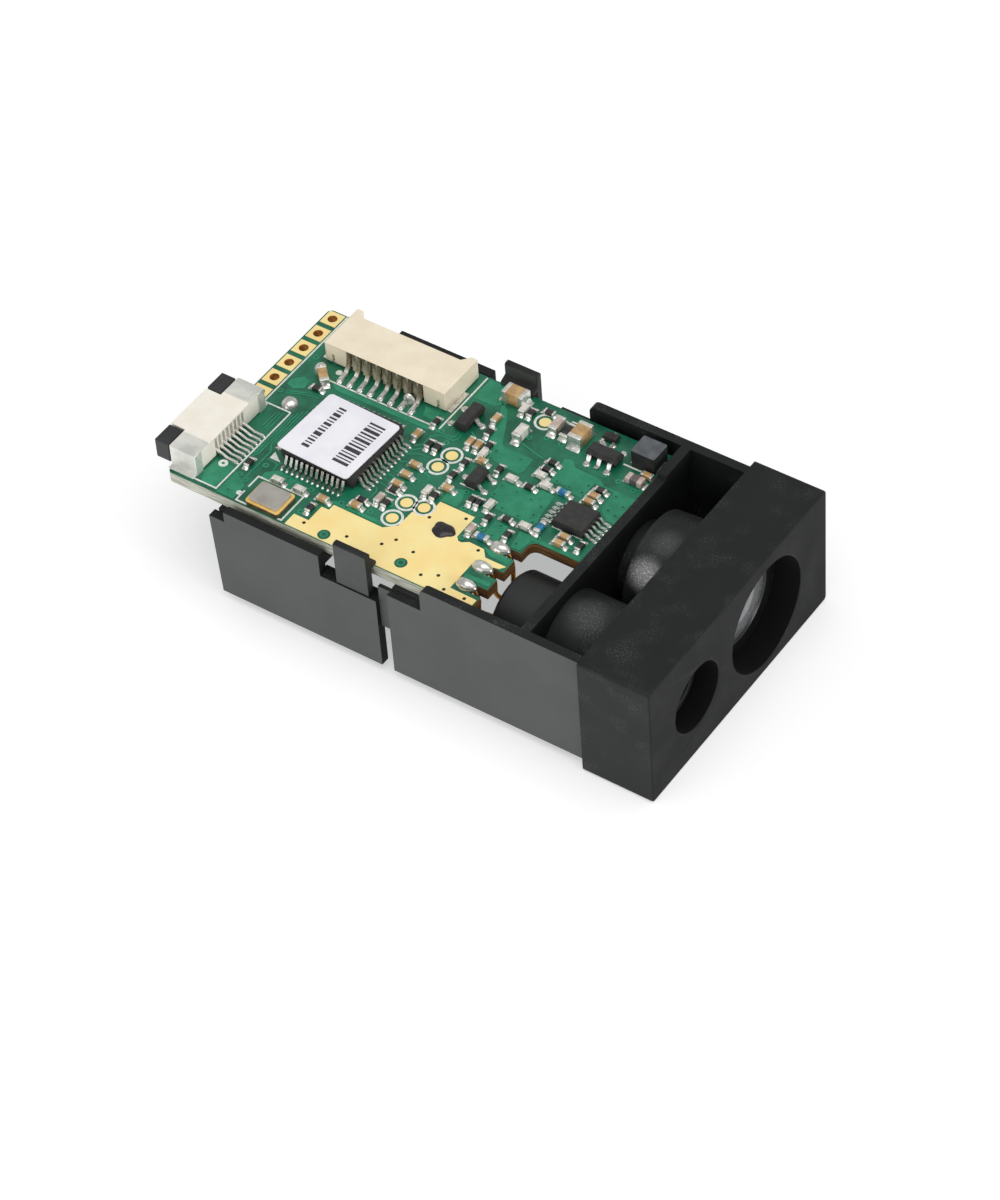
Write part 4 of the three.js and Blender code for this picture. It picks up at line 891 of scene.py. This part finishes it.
def two_ended(mesh, centre, turn, size, body, terminal, metal):
    """A ceramic or resistor body between two plated ends."""
    length, width, height = size
    along = Vector((math.cos(math.radians(turn)), math.sin(math.radians(turn)), 0))
    middle = Vector((*centre, BOARD_TOP + 0.03))
    lift = 0.03 if height > 0.4 else 0.05
    body_size = (length - 0.1, width - 0.05, height - lift)
    mesh.block(middle + Vector((0, 0, 0.02)), body_size, turn, 0.05, body)
    for side in (-1, 1):
        end = middle + along * side * (length - terminal) / 2
        mesh.block(end, (terminal, width, height), turn, 0.07, metal, 3)


passives = Mesh(TAN, PINK, PALE, INK, CYAN, TIN, GREY)
fillets = Mesh(SOLDER)
for kind, x, y, turn in PASSIVES:
    length, width, height, body, terminal = KINDS[kind]
    metal = PINK_ENDS.get(kind, TIN_PLACE)
    two_ended(passives, (x, y), turn, (length, width, height), body, terminal, metal)
    for side in (0, 180):
        along = Vector((math.cos(math.radians(turn + side)), math.sin(math.radians(turn + side)), 0))
        foot = Vector((x, y, BOARD_TOP)) + along * (length / 2 - 0.06)
        fillets.wedge(foot, turn + side, width * 0.96, height * 0.72, 0.34)
passives.piece("small_passives")


def boxed(name, node, turn, body, terminal):
    """A larger chip part that stands exactly in its CAD solid's box."""
    low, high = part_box(node)
    size = (high - low) / MM
    x, y = (low.x + high.x) / 2 / MM - FRONT, (low.y + high.y) / 2 / MM
    long, wide = (size.y, size.x) if turn else (size.x, size.y)
    mesh = Mesh(body, TIN)
    two_ended(mesh, (x, y), turn, (long, wide, size.z - 0.03), 0, terminal, 1)
    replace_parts(mesh.piece(name), node)
    for side in (0, 180):
        along = Vector((math.cos(math.radians(turn + side)), math.sin(math.radians(turn + side)), 0))
        foot = Vector((x, y, BOARD_TOP)) + along * (long / 2 - 0.06)
        fillets.wedge(foot, turn + side, wide * 0.98, size.z * 0.6, 0.42)


boxed("input_capacitor_body", "input_capacitor", 0, TAN, 0.42)
boxed("output_capacitor_body", "output_capacitor", 90, TAN, 0.42)
boxed("bias_capacitor_body", "bias_capacitor", 90, PINK, 0.34)
boxed("filter_inductor_body", "filter_inductor", 90, PALE, 0.34)

# Solder under the leads of the chips, the connectors' tails and the inductor.
CONTROLLER = (-35.9, -1.67)
CONTROLLER_REACH = 4.35
CONTROLLER_ROW = 12
AMPLIFIER = (-15.45, 0.9)
AMPLIFIER_REACH = 2.3
AMPLIFIER_ROW = 5
FINE_PITCH = 0.5
for side in range(4):
    for i in range(CONTROLLER_ROW):
        offset = (i - (CONTROLLER_ROW - 1) / 2) * FINE_PITCH
        turn = math.radians(90 * side)
        x = CONTROLLER[0] + CONTROLLER_REACH * math.cos(turn) - offset * math.sin(turn)
        y = CONTROLLER[1] + CONTROLLER_REACH * math.sin(turn) + offset * math.cos(turn)
        fillets.blob((x, y, BOARD_TOP), (0.36, 0.14, 0.13), 90 * side, rings=4, count=10)
for i in range(AMPLIFIER_ROW):
    for side in (-1, 1):
        x = AMPLIFIER[0] + side * AMPLIFIER_REACH
        y = AMPLIFIER[1] + (i - (AMPLIFIER_ROW - 1) / 2) * FINE_PITCH
        fillets.blob((x, y, BOARD_TOP), (0.34, 0.15, 0.13), rings=4, count=10)
LEAD_FEET = [
    (-27.78, 6.0), (-30.18, 5.05), (-30.18, 6.95), (-23.5, 1.31), (-23.5, 0.01), (-25.74, 0.66),
    (-18.4, 6.75), (-16.5, 6.75), (-18.4, 9.2), (-16.5, 9.2), (-18.7, 9.5), (-17.7, 9.5),
    (-18.2, 10.6),
]
for x, y in LEAD_FEET:
    fillets.blob((x, y, BOARD_TOP), (0.32, 0.3, 0.14), rings=4, count=14)
for i in range(8):
    wire_tail = (-40.6 + i, 4.45, BOARD_TOP)
    ribbon_tail = (-42.3, -7.43 + FINE_PITCH * i, BOARD_TOP)
    fillets.blob(wire_tail, (0.3, 0.46, 0.26), rings=6, count=16)
    fillets.blob(ribbon_tail, (0.42, 0.13, 0.12), rings=4, count=12)
fillets.blob((-42.6, 4.6, BOARD_TOP), (0.62, 0.55, 0.85), -45, lumps=0.08, rings=8, count=20)
fillets.blob((-34.35, 5.25, BOARD_TOP), (0.62, 0.4, 1.05), lumps=0.08, rings=10, count=24)
for x, y, turn in ((-15.2, 9.4, 180), (-13.2, 9.4, 0)):
    fillets.wedge((x, y, BOARD_TOP), turn, 1.5, 0.5, 0.35)
fillets.piece("solder_fillets")

# ------------------------------------------------------------------ solder, resin and the label's print
def poured(name, node, finish, lumps):
    """A blob in a CAD solid's box, which it replaces."""
    low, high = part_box(node)
    centre = ((low.x + high.x) / 2 / MM - FRONT, (low.y + high.y) / 2 / MM, low.z / MM)
    half = (high - low) / MM / 2
    mesh = Mesh(finish)
    mesh.blob(centre, (half.x * 0.94, half.y * 0.94, 2 * half.z), 0.0, 0, lumps, 12, 40)
    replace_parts(mesh.piece(name), node)


poured("large_solder_joint", "solder_joint", SOLDER, 0.04)
poured("resin_dot", "glue_dot", RESIN, 0.09)
for number in (1, 2, 3):
    poured(f"laser_solder_joint_{number}", f"laser_solder_{number}", SOLDER, 0.05)

BARS = (0.3, 0.12, 0.2, 0.12, 0.42, 0.2, 0.12, 0.3, 0.12, 0.2, 0.34, 0.12, 0.2)
BAR_GAP = 0.19
BAR_ROWS = ((1.2, 1.5), (-1.9, 0.7))  # where each row of bars starts, and its height
ROW_START = -2.4
LABEL_MIDDLE = (-35.97, -2.0)
LABEL_TURN = -0.04
label_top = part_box("chip_label")[1].z / MM
print_rows = Mesh(PRINT)
cosine, sine = math.cos(LABEL_TURN), math.sin(LABEL_TURN)
for start, tall in BAR_ROWS:
    v = ROW_START
    for width in BARS:
        corners = [(start, v), (start + tall, v), (start + tall, v + width), (start, v + width)]
        turned = [
            (LABEL_MIDDLE[0] + a * cosine - b * sine, LABEL_MIDDLE[1] + a * sine + b * cosine)
            for a, b in corners
        ]
        print_rows.prism(turned, label_top, label_top + 0.012)
        v += width + BAR_GAP
print_rows.piece("label_bar_print")

# ------------------------------------------------------------------ camera, light and floor
CAMERA_PLACE = (0.14661, -0.18910, 0.24699)
CAMERA_ANGLES = (37.558, 46.148, -4.533)  # azimuth, elevation and roll, in degrees
FOCAL_PIXELS, PHOTO_HEIGHT = 4304, 1200
SENSOR = 36.0

azimuth, elevation, roll = (math.radians(angle) for angle in CAMERA_ANGLES)
across = math.cos(elevation)
back = Vector((math.sin(azimuth) * across, -math.cos(azimuth) * across, math.sin(elevation)))
level = Vector((0, 0, 1)).cross(back).normalized()
upright = back.cross(level)
right = level * math.cos(roll) + upright * math.sin(roll)
up = upright * math.cos(roll) - level * math.sin(roll)
camera = bpy.data.objects.new("camera", bpy.data.cameras.new("camera"))
bpy.context.scene.collection.objects.link(camera)
facing = Matrix((right, up, back)).transposed().to_4x4()
camera.matrix_world = Matrix.Translation(CAMERA_PLACE) @ facing
camera.data.sensor_width = SENSOR
camera.data.lens = FOCAL_PIXELS / PHOTO_HEIGHT * SENSOR
camera.data.clip_start, camera.data.clip_end = 0.005, 20.0
bpy.context.scene.camera = camera


def softbox(name, place, aim, size, power):
    data = bpy.data.lights.new(name, "AREA")
    data.shape = "RECTANGLE"
    data.size, data.size_y = size
    data.energy = power
    obj = bpy.data.objects.new(name, data)
    bpy.context.scene.collection.objects.link(obj)
    obj.location = place
    obj.rotation_mode = "QUATERNION"
    obj.rotation_quaternion = (Vector(aim) - Vector(place)).to_track_quat("-Z", "Y")


softbox("overhead", (0.12, -0.05, 0.6), (0, 0, 0.01), (0.5, 0.5), 1.5)
softbox("front_fill", (0.52, -0.04, 0.12), (0.02, 0, 0.006), (0.2, 0.16), 0.8)
softbox("left_fill", (-0.12, -0.55, 0.16), (0, 0, 0.005), (0.6, 0.3), 0.8)

world = bpy.data.worlds.new("studio")
bpy.context.scene.world = world
world.use_nodes = True
world.node_tree.nodes["Background"].inputs["Color"].default_value = (1.0, 1.0, 1.0, 1.0)
world.node_tree.nodes["Background"].inputs["Strength"].default_value = 0.55
bpy.context.scene.view_settings.view_transform = "Standard"

floor_mesh = bmesh.new()
bmesh.ops.create_grid(floor_mesh, x_segments=2, y_segments=2, size=3.0)
floor_data = bpy.data.meshes.new("floor")
floor_mesh.to_mesh(floor_data)
floor_mesh.free()
floor = bpy.data.objects.new("floor", floor_data)
bpy.context.scene.collection.objects.link(floor)
floor.location.z = -0.00002
floor_data.materials.append(
    mottled(
        "pale_floor", (0.62, 0.62, 0.62, 1), (0.66, 0.66, 0.66, 1), (0.7, 0.9), blotch=8, grain=60,
        Emission_Color=(1.0, 1.0, 1.0, 1.0), Emission_Strength=0.45,
    )
)
